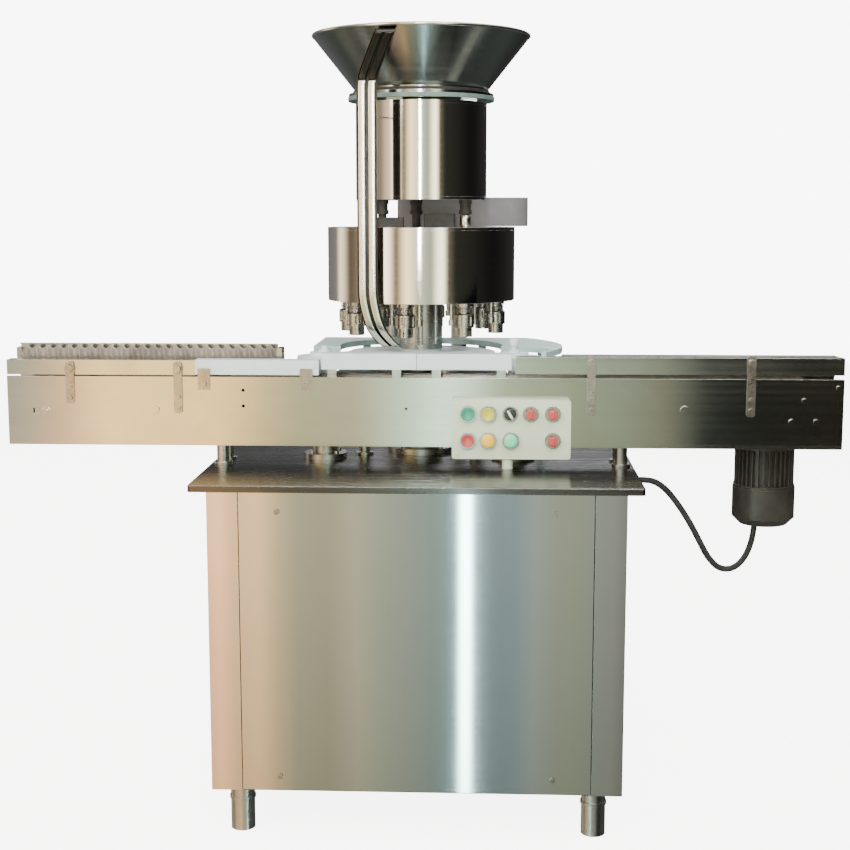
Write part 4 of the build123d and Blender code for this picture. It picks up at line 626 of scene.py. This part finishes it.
# The bars' leaning tops are the same steel bars, given the dark finish as a painted shade.
leaning_shaded = whole_path[:, 2] > LEANING_SHADE_START
lower_path, shaded_upper_path = whole_path[~leaning_shaded], whole_path[np.roll(leaning_shaded, -1)]
chute_pieces = []
for side_name, side in (("left", -1), ("right", 1)):
    for part, path, tone in (("bar", lower_path, "chute_steel"), ("top", shaded_upper_path, "dark_strip_and_bar_shade")):
        name = f"chute_{side_name}_{part}"
        piece = add_object(name, carried(name, path, side * BAR_OFFSET, -0.0005, BAR_HALF, 0.0035,
                                         0.45), "machine", "chute_steel")
        piece.data.materials.append(finishes[tone])
        chute_pieces.append(piece)
    name = f"chute_{side_name}_wall"
    wall = add_object(name, carried(name, whole_path, side * 0.0190, 0.0030, 0.0009, 0.0060, 0.3),
                      "machine", "chute_steel")
    wall.data.materials.append(finishes["dark_strip_and_bar_shade"])
    chute_pieces.append(wall)
back_strip = add_object("chute_back_strip", carried("chute_back_strip", whole_path, 0.0, 0.0080,
                                                    0.0198, 0.0010, 0.3), "machine", "chute_steel")
back_strip.data.materials.append(finishes["dark_strip_and_bar_shade"])
chute_pieces.append(back_strip)


def clip(name, low, high):
    """Flat clip between the back strip and the wall behind it: a rounded bar along Y."""
    angle = np.linspace(0, 2 * np.pi, 20, endpoint=False)
    half = (np.array(high) - np.array(low)) / 2
    middle = (np.array(high) + np.array(low)) / 2
    x = middle[0] + half[0] * np.sign(np.cos(angle)) * np.abs(np.cos(angle)) ** 0.4
    z = middle[2] + half[2] * np.sign(np.sin(angle)) * np.abs(np.sin(angle)) ** 0.4
    points = np.stack([np.stack([x, np.full(20, y), z], axis=-1) for y in (low[1], high[1])])
    piece = add_object(name, outward(grid_mesh(name, points)), "machine", "chute_steel")
    piece.data.materials.append(finishes["screw_steel"])
    return piece


chute_pieces.append(clip("chute_drum_clip", (-0.114, -0.186, 1.100), (-0.098, -0.171, 1.120)))
chute_pieces.append(clip("chute_casing_clip", (-0.1085, -0.186, 1.4055), (-0.1035, -0.094, 1.4085)))
for piece in chute_pieces:
    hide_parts("cap_chute")
print("chute pieces", len(chute_pieces))

# %% [markdown]
# Each capping head has a spring round its spindle that presses the chuck on the cap. A spring
# is a circle carried along a helix. Eight heads need the same spring, so one function makes it
# at a given centre and a loop places it.

# %% Head springs
HEAD_COUNT = 8
SPRING_RADIUS = 0.0155
SPRING_WIRE = 0.0012


def spring(name, centre, low, high, turns=3.5):
    """Helix (R cos t, R sin t, rising) with a round wire of radius w about it, w small beside R."""
    angle = np.linspace(0, 2 * np.pi * turns, int(turns * 24))
    section = np.linspace(0, 2 * np.pi, 8, endpoint=False)
    height = np.linspace(low + SPRING_WIRE, high - SPRING_WIRE, len(angle))
    radius = SPRING_RADIUS + SPRING_WIRE * np.cos(section)[None, :]
    points = np.stack([centre[0] + radius * np.cos(angle)[:, None],
                       centre[1] + radius * np.sin(angle)[:, None],
                       height[:, None] + SPRING_WIRE * np.sin(section)[None, :]], axis=-1)
    return outward(grid_mesh(name, points))


finishes["spring_wire"] = finish("spring_wire", (0.55, 0.52, 0.47), (0.38, 0.35, 0.31), STEEL_EDGE_RUB_AND_HIGHLIGHT,
                                 1.0, 0.18, 0.36, EVEN, 0.00001, clouds=60.0)
for number in range(1, HEAD_COUNT + 1):
    head_low, head_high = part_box("capping_head_" + str(number))
    joint = next(j for j in frame["joints"] if j["name"] == f"head_{number}_spin")
    coil = add_object(f"head_spring_{number}",
                      spring(f"head_spring_{number}", joint["pos_m"][:2], head_low.z + 0.047,
                             head_low.z + 0.061), f"head_{number}", "chuck_steel")
    coil.data.materials.append(finishes["spring_wire"])
print("springs", HEAD_COUNT)

# %% [markdown]
# The controls are what the operator looks at, so they get their real forms: push buttons with
# a slightly hollow face, knobs with flutes for the fingers, a white pointer on the selector
# and two domed lamp lenses. All are turned about an axis that points at the operator.

# %% Controls
def facing_turned(name, outline, centre, steps=64, flutes=0, flute_depth=0.0):
    """Revolution about the Y axis through (x, z): radius r - depth |sin(n t / 2)| where fluted."""
    outline = np.asarray(outline, float)
    angle = np.linspace(0, 2 * np.pi, steps, endpoint=False)
    dip = flute_depth * np.abs(np.sin(flutes * angle / 2))[None, :] * outline[:, 2:3]
    radius = np.maximum(outline[:, 0:1] - dip, 0.0)
    points = np.stack([centre[0] + radius * np.cos(angle),
                       np.broadcast_to(outline[:, 1:2], radius.shape),
                       centre[1] + radius * np.sin(angle)], axis=-1)
    return outward(grid_mesh(name, points))


def middle_of(node):
    """Centre (x, z) of a node, with its front y and back y."""
    low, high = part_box(node)
    return ((low.x + high.x) / 2, (low.z + high.z) / 2), low.y, high.y


def arc(r0, y0, r1, y1, flute=0.0, count=7):
    """Quarter ellipse from (r0, y0) to (r1, y1), leaving along y."""
    t = np.linspace(0, np.pi / 2, count)
    return [(r1 + (r0 - r1) * c, y0 + (y1 - y0) * s, flute) for c, s in zip(np.cos(t), np.sin(t))]


for button, colour in (("start_button", "green"), ("jog_button", "yellow"), ("stop_button", "red")):
    centre, front, back = middle_of(button)
    outline = ([(0.0130, back, 0)] + arc(0.0130, front + 0.0016, 0.0116, front)
               + [(0.0104, front + 0.0002, 0), (0.0092, front + 0.0010, 0), (0.0030, front + 0.0013, 0)])
    cap = add_object(button + "_cap", facing_turned(button + "_cap", outline, centre), button,
                     colour + "_plastic")
    cap.data.materials.append(finishes[colour + "_plastic"])
    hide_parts(button)

finishes["white_mark"] = finish("white_mark", (0.82, 0.82, 0.80), (0.72, 0.72, 0.70),
                                (0.9, 0.9, 0.9), 0.0, 0.35, 0.5, EVEN, 0.00002)
KNOBS = {"selector_switch": ("selector", "black_plastic", "white_mark", -30.0),
         "knob_1": ("knob_1", "red_plastic", "red_plastic", 0.0),
         "knob_2": ("knob_2", "red_plastic", "red_plastic", 0.0),
         "knob_3": ("knob_3", "red_plastic", "red_plastic", 0.0)}


def pointer_bar(name, centre, front, length, width, turn):
    """Rounded bar: a superellipse outline |x/a|^4 + |z/b|^4 = 1, rising to a crowned face."""
    angle = np.linspace(0, 2 * np.pi, 40, endpoint=False)
    shape_x = np.sign(np.cos(angle)) * np.abs(np.cos(angle)) ** 0.5 * width / 2
    shape_z = np.sign(np.sin(angle)) * np.abs(np.sin(angle)) ** 0.5 * length / 2
    steps = np.array([(1.0, 0.0055), (1.0, 0.0012), (0.9, 0.0003), (0.6, 0.0)])
    x, z = steps[:, 0:1] * shape_x, steps[:, 0:1] * shape_z
    cosine, sine = math.cos(math.radians(turn)), math.sin(math.radians(turn))
    points = np.stack([centre[0] + x * cosine + z * sine,
                       np.broadcast_to(front + steps[:, 1:2], x.shape),
                       centre[1] - x * sine + z * cosine], axis=-1)
    return outward(grid_mesh(name, points))


for node_name, (body, colour, mark, turn) in KNOBS.items():
    centre, front, back = middle_of(node_name)
    face = front + 0.0030
    grip = 0.0120 if node_name == "selector_switch" else 0.0110
    outline = ([(0.0040, back, 0), (0.0040, face + 0.0157, 0), (grip, face + 0.0157, 0.2)]
               + [(grip, face + 0.0140, 1), (grip - 0.0006, face + 0.0020, 1)]
               + arc(grip - 0.0006, face + 0.0018, grip - 0.0026, face, 0.5)
               + [(0.0030, face + 0.0002, 0)])
    knob = add_object(node_name + "_grip", facing_turned(node_name + "_grip", outline, centre, 96,
                                                         16, 0.0009), body, colour)
    knob.data.materials.append(finishes[colour])
    bar = add_object(node_name + "_pointer",
                     pointer_bar(node_name + "_pointer", centre, front, 2 * grip - 0.004, 0.0052,
                                 turn), body, colour)
    bar.data.materials.append(finishes[mark])
    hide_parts(node_name)
    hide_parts(node_name)


def lens_finish(name, colour, glow):
    """Coloured lens: a clear coat over a ribbed, slightly glowing plastic."""
    material = finish(name, colour, tuple(0.8 * c for c in colour), tuple(min(1, 1.2 * c) for c in colour),
                      0.0, 0.08, 0.18, (300.0, 1.0, 300.0), 0.0001, clouds=60.0, coat=0.6)
    shader = material.node_tree.nodes["Principled BSDF"]
    shader.inputs["Emission Color"].default_value = (*colour, 1.0)
    shader.inputs["Emission Strength"].default_value = glow
    return material


PANEL_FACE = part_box("lamps_and_bezels")[1].y
LENSES = {"amber": ((0.136, 0.767), (0.98, 0.56, 0.02)), "mint": ((0.181, 0.767), (0.16, 0.78, 0.42))}
for lens_name, (centre, colour) in LENSES.items():
    front = PANEL_FACE - 0.0152
    outline = ([(0.0134, PANEL_FACE - 0.0001, 0), (0.0134, front + 0.0050, 0)]
               + arc(0.0134, front + 0.0048, 0.0074, front + 0.0004) + [(0.0020, front, 0)])
    lens = add_object(lens_name + "_lens", facing_turned(lens_name + "_lens", outline, centre),
                      "machine", "lamp_plastic")
    lens.data.materials.append(lens_finish(lens_name + "_lens", colour, 0.25))
print("controls done")

# %% [markdown]
# The conveyor's straps and small plates are held by hexagon screws. A hexagon head is a prism
# whose top corners are turned off by a cone, so its outline shrinks a little near its face.

# %% Hexagon screw heads
def hexagon_head(name, x, z, face, width, height):
    """Hexagon radius a / cos(t - nearest 60 degrees), cut to 0.97 a / cos 30 at the chamfer."""
    angle = np.linspace(0, 2 * np.pi, 48, endpoint=False)
    wedge = np.mod(angle + np.pi / 6, np.pi / 3) - np.pi / 6
    hexagon = width / 2 / np.cos(wedge)
    crown = np.minimum(hexagon, width / 2 * 1.02)
    rows = [(hexagon, 0.0), (hexagon, 0.72 * height), (crown, height), (0.5 * crown, height)]
    points = np.stack([np.stack([x + r * np.cos(angle), np.full(48, face - rise),
                                 z + r * np.sin(angle)], axis=-1) for r, rise in rows])
    head = add_object(name, outward(grid_mesh(name, points)), "machine", "screw_steel")
    for polygon in head.data.polygons:
        polygon.use_smooth = False
    head.data.materials.append(finishes["screw_steel"])
    return head


PLATE_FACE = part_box("guide_channels")[0].y - 0.002
STRAP_FACE = PLATE_FACE - 0.004
STRAPS = ((-0.710, 0.833, 0.918), (-0.490, 0.814, 0.918), (0.341, 0.813, 0.934), (0.657, 0.813, 0.934))
for index, (x, low, high) in enumerate(STRAPS, start=1):
    hexagon_head(f"strap_{index}_lower_screw", x, low + 0.012, STRAP_FACE, 0.0100, 0.0048)
    hexagon_head(f"strap_{index}_upper_screw", x, low + 0.034, STRAP_FACE, 0.0100, 0.0048)
    hexagon_head(f"strap_{index}_clamp_nut", x, high - 0.014, STRAP_FACE, 0.0150, 0.0105)
for index, x in enumerate((-0.437, -0.230), start=1):
    hexagon_head(f"rail_plate_{index}_screw", x, 0.874, PLATE_FACE - 0.002, 0.0100, 0.0045)
print("screw heads", 3 * len(STRAPS) + 2)

# %% [markdown]
# The floor is a plain pale plane. Polished steel shows nothing but its surroundings, so the
# world's brightness changes with the compass direction in soft upright bands: a bright window
# side on the left, a lit room ahead and darkness on the right. The camera itself sees white.

# %% Floor
floor_mesh = bpy.data.meshes.new("floor")
FLOOR_HALF = 9.0
floor_mesh.from_pydata([(-FLOOR_HALF, -FLOOR_HALF, 0), (FLOOR_HALF, -FLOOR_HALF, 0),
                        (FLOOR_HALF, FLOOR_HALF, 0), (-FLOOR_HALF, FLOOR_HALF, 0)], [], [(0, 1, 2, 3)])
floor = bpy.data.objects.new("floor", floor_mesh)
bpy.context.scene.collection.objects.link(floor)
floor.data.materials.append(finish("pale_floor", (0.80, 0.80, 0.79), (0.77, 0.77, 0.76),
                                   (0.8, 0.8, 0.8), 0.0, 0.55, 0.75, (2.0, 2.0, 2.0), 0.0001,
                                   clouds=0.6))
floor_shader = floor.data.materials[0].node_tree
floor_seen = floor_shader.nodes.new("ShaderNodeLightPath")
floor_glow = floor_shader.nodes.new("ShaderNodeMath")
floor_glow.operation = "MULTIPLY"
floor_glow.inputs[1].default_value = 6.0
join(floor_shader, floor_seen.outputs["Is Camera Ray"], floor_glow.inputs[0])
floor_principled = floor_shader.nodes["Principled BSDF"]
floor_principled.inputs["Emission Color"].default_value = (1.0, 1.0, 0.99, 1.0)
join(floor_shader, floor_glow.outputs[0], floor_principled.inputs["Emission Strength"])
floor.visible_glossy = False

# %% World bands
world = bpy.data.worlds.new("studio")
bpy.context.scene.world = world
world.use_nodes = True
sky = world.node_tree
sky.nodes.clear()
direction = sky.nodes.new("ShaderNodeTexCoord")
split = sky.nodes.new("ShaderNodeSeparateXYZ")
forward = sky.nodes.new("ShaderNodeMath")
forward.operation = "MULTIPLY"
forward.inputs[1].default_value = -1.0
azimuth = sky.nodes.new("ShaderNodeMath")
azimuth.operation = "ARCTAN2"
share = value_range(sky, -math.pi, math.pi)
bands = sky.nodes.new("ShaderNodeValToRGB")
join(sky, direction.outputs["Generated"], split.inputs[0])
join(sky, split.outputs["Y"], forward.inputs[0])
join(sky, split.outputs["X"], azimuth.inputs[0])
join(sky, forward.outputs[0], azimuth.inputs[1])
join(sky, azimuth.outputs[0], share.inputs["Value"])
join(sky, share.outputs["Result"], bands.inputs["Fac"])
BANDS = (
    (-180, (0.10, 0.10, 0.10)), (-142, (0.24, 0.235, 0.24)), (-126, (0.30, 0.285, 0.28)),
    (-114, (2.3, 1.9, 1.35)), (-94, (0.20, 0.155, 0.10)), (-74, (0.42, 0.33, 0.24)),
    (-57, (1.35, 1.05, 0.72)), (-42, (5.2, 4.2, 2.9)), (-28, (0.34, 0.27, 0.17)), (-14, (3.4, 2.7, 1.55)),
    (0, (1.10, 1.05, 0.83)), (14, (0.75, 0.80, 0.60)), (27, (4.4, 4.1, 3.0)),
    (36, (0.16, 0.14, 0.10)), (46, (0.035, 0.036, 0.030)), (100, (0.012, 0.012, 0.011)),
    (150, (0.03, 0.03, 0.03)), (180, (0.10, 0.10, 0.10)),
)
ramp = bands.color_ramp
ramp.interpolation = "EASE"
fill_ramp(ramp, BANDS)
room = sky.nodes.new("ShaderNodeBackground")
white = sky.nodes.new("ShaderNodeBackground")
white.inputs["Color"].default_value = (0.93, 0.93, 0.925, 1.0)
white.inputs["Strength"].default_value = 9.0
seen = sky.nodes.new("ShaderNodeLightPath")
choose = sky.nodes.new("ShaderNodeMixShader")
world_end = sky.nodes.new("ShaderNodeOutputWorld")
depth = value_range(sky, -0.16, -0.50, out_high=0.9)
below = sky.nodes.new("ShaderNodeMix")
below.data_type = "RGBA"
below.inputs["B"].default_value = (0.12, 0.13, 0.12, 1.0)
height = value_range(sky, 0.30, 0.85)
overhead = sky.nodes.new("ShaderNodeMix")
overhead.data_type = "RGBA"
overhead.inputs["B"].default_value = (1.5, 1.5, 1.46, 1.0)
join(sky, split.outputs["Z"], height.inputs["Value"])
join(sky, height.outputs["Result"], overhead.inputs["Factor"])
join(sky, bands.outputs["Color"], overhead.inputs["A"])
join(sky, split.outputs["Z"], depth.inputs["Value"])
join(sky, depth.outputs["Result"], below.inputs["Factor"])
join(sky, overhead.outputs["Result"], below.inputs["A"])
join(sky, below.outputs["Result"], room.inputs["Color"])
join(sky, seen.outputs["Is Camera Ray"], choose.inputs["Fac"])
join(sky, room.outputs[0], choose.inputs[1])
join(sky, white.outputs[0], choose.inputs[2])
join(sky, choose.outputs[0], world_end.inputs["Surface"])

# %% [markdown]
# Four soft lamps shape the machine: a large warm one from the left front, a tall narrow one
# straight ahead, a high one, and a weak one from behind that keeps the back readable. The flat
# brushed sheets look like whatever stands before them, so two glowing walls, which only
# reflections see, stand low in front. One paints the cabinet: warm on the left, a thin bright
# streak, blue-grey, then green-grey. The other paints the conveyor's plate from cream to black.
# Both tables of stops were worked out by a helper program for this one camera, so they are no
# example of plain studio light, and from other angles the sheets reflect the glow elsewhere.

# %% Lamps and reflected walls
def area_lamp(name, place, target, width, height, power, colour):
    """Rectangular lamp at a place, aimed at a target."""
    data = bpy.data.lights.new(name, "AREA")
    data.shape = "RECTANGLE"
    data.size = width
    data.size_y = height
    data.energy = power
    data.color = colour
    lamp = bpy.data.objects.new(name, data)
    bpy.context.scene.collection.objects.link(lamp)
    lamp.location = place
    aim = np.array(target, float) - np.array(place, float)
    aim /= np.linalg.norm(aim)
    lamp.rotation_euler = (math.acos(-aim[2]), 0.0, math.atan2(aim[0], -aim[1]) + math.pi)
    return lamp


area_lamp("warm_left", (-2.6, -3.0, 2.6), (0.0, 0.0, 0.8), 1.8, 1.8, 70.0, (1.0, 0.93, 0.82))
area_lamp("streak", (0.03, -3.4, 2.0), (0.0, -0.4, 0.5), 0.12, 2.2, 60.0, (0.90, 0.97, 1.0))
area_lamp("high_front", (0.8, -2.2, 3.2), (0.0, -0.1, 0.8), 1.6, 1.2, 40.0, (1.0, 1.0, 0.98))
area_lamp("back_fill", (0.6, 3.2, 2.6), (0.0, 0.0, 0.9), 2.4, 1.8, 45.0, (0.95, 0.97, 1.0))

WALL_Y = -0.75
WALL_OVERHANG = 1.2
CABINET_GLOW = (
    (-0.43, (1.8, 1.2, 0.75)), (-0.379, (3.6, 1.9, 0.95)), (-0.347, (2.2, 1.38, 0.75)),
    (-0.303, (2.4, 1.55, 0.79)), (-0.266, (1.4, 1.05, 0.60)), (-0.228, (0.84, 0.79, 0.52)),
    (-0.17, (0.74, 0.72, 0.47)), (-0.114, (0.97, 0.89, 0.63)), (-0.057, (0.70, 0.76, 0.57)),
    (0.0, (0.58, 0.66, 0.57)), (0.04, (0.48, 0.62, 0.56)), (0.066, (0.46, 0.70, 0.71)),
    (0.080, (0.62, 0.88, 0.96)), (0.0905, (16.0, 23.0, 24.0)), (0.1005, (16.0, 23.0, 24.0)),
    (0.110, (0.90, 1.20, 1.32)), (0.13, (0.53, 0.71, 0.76)), (0.15, (0.42, 0.55, 0.58)),
    (0.188, (0.44, 0.58, 0.60)), (0.226, (0.60, 0.69, 0.63)), (0.264, (0.57, 0.62, 0.48)),
    (0.30, (0.55, 0.61, 0.44)), (0.34, (0.50, 0.55, 0.46)), (0.377, (0.50, 0.51, 0.45)),
    (0.43, (0.22, 0.23, 0.19)), (0.50, (0.02, 0.02, 0.02)),
)
CONVEYOR_GLOW = (
    (-0.84, (0.95, 0.90, 0.72)), (-0.806, (1.05, 1.05, 0.80)), (-0.725, (2.2, 1.5, 0.86)),
    (-0.645, (3.9, 2.6, 1.1)), (-0.524, (3.2, 2.3, 0.95)), (-0.403, (3.4, 2.35, 0.92)),
    (-0.323, (1.87, 1.55, 0.78)), (-0.242, (1.05, 1.10, 0.63)), (-0.122, (1.07, 1.05, 0.70)),
    (0.0, (1.8, 2.6, 2.0)), (0.04, (2.6, 3.8, 3.1)), (0.16, (0.85, 1.10, 0.72)),
    (0.321, (0.55, 0.69, 0.45)), (0.40, (0.48, 0.61, 0.45)), (0.482, (0.38, 0.42, 0.30)),
    (0.532, (0.17, 0.21, 0.17)), (0.562, (0.020, 0.035, 0.036)), (0.64, (0.006, 0.013, 0.012)),
    (0.84, (0.002, 0.003, 0.004)),
)


def glowing_wall(name, sheet_y, low, high, glow):
    """Emitting plane; a stop at x on the sheet at y = s glows at x + (x - camera x) * reach.

    A ray from the camera mirrored at the sheet meets the wall there, because
    reach = (s - wall y) / (s - camera y).
    """
    reach = (sheet_y - WALL_Y) / (sheet_y - camera.location.y)
    glow = [(x + (x - camera.location.x) * reach, colour) for x, colour in glow]
    x0, x1 = glow[0][0], glow[-1][0]
    mesh = bpy.data.meshes.new(name)
    left, right = x0 - WALL_OVERHANG, x1 + WALL_OVERHANG
    mesh.from_pydata([(left, WALL_Y, low), (right, WALL_Y, low),
                      (right, WALL_Y, high), (left, WALL_Y, high)], [], [(0, 1, 2, 3)])
    wall = bpy.data.objects.new(name, mesh)
    bpy.context.scene.collection.objects.link(wall)
    material = bpy.data.materials.new(name)
    material.use_nodes = True
    tree = material.node_tree
    tree.nodes.clear()
    place = tree.nodes.new("ShaderNodeTexCoord")
    parts = tree.nodes.new("ShaderNodeSeparateXYZ")
    along = value_range(tree, x0, x1)
    colours = tree.nodes.new("ShaderNodeValToRGB")
    fill_ramp(colours.color_ramp, glow)
    light = tree.nodes.new("ShaderNodeEmission")
    fade = value_range(tree, -0.10, 0.55, out_low=0.62)
    join(tree, parts.outputs["Z"], fade.inputs["Value"])
    join(tree, fade.outputs["Result"], light.inputs["Strength"])
    end = tree.nodes.new("ShaderNodeOutputMaterial")
    join(tree, place.outputs["Object"], parts.inputs[0])
    join(tree, parts.outputs["X"], along.inputs["Value"])
    join(tree, along.outputs["Result"], colours.inputs["Fac"])
    join(tree, colours.outputs["Color"], light.inputs["Color"])
    join(tree, light.outputs[0], end.inputs["Surface"])
    mesh.materials.append(material)
    wall.visible_camera = False
    wall.visible_diffuse = False
    wall.visible_shadow = False
    return wall


glowing_wall("cabinet_reflection", sheet_y=-0.40, low=-1.6, high=0.64, glow=CABINET_GLOW)
glowing_wall("conveyor_reflection", sheet_y=-0.206, low=0.645, high=0.98, glow=CONVEYOR_GLOW)
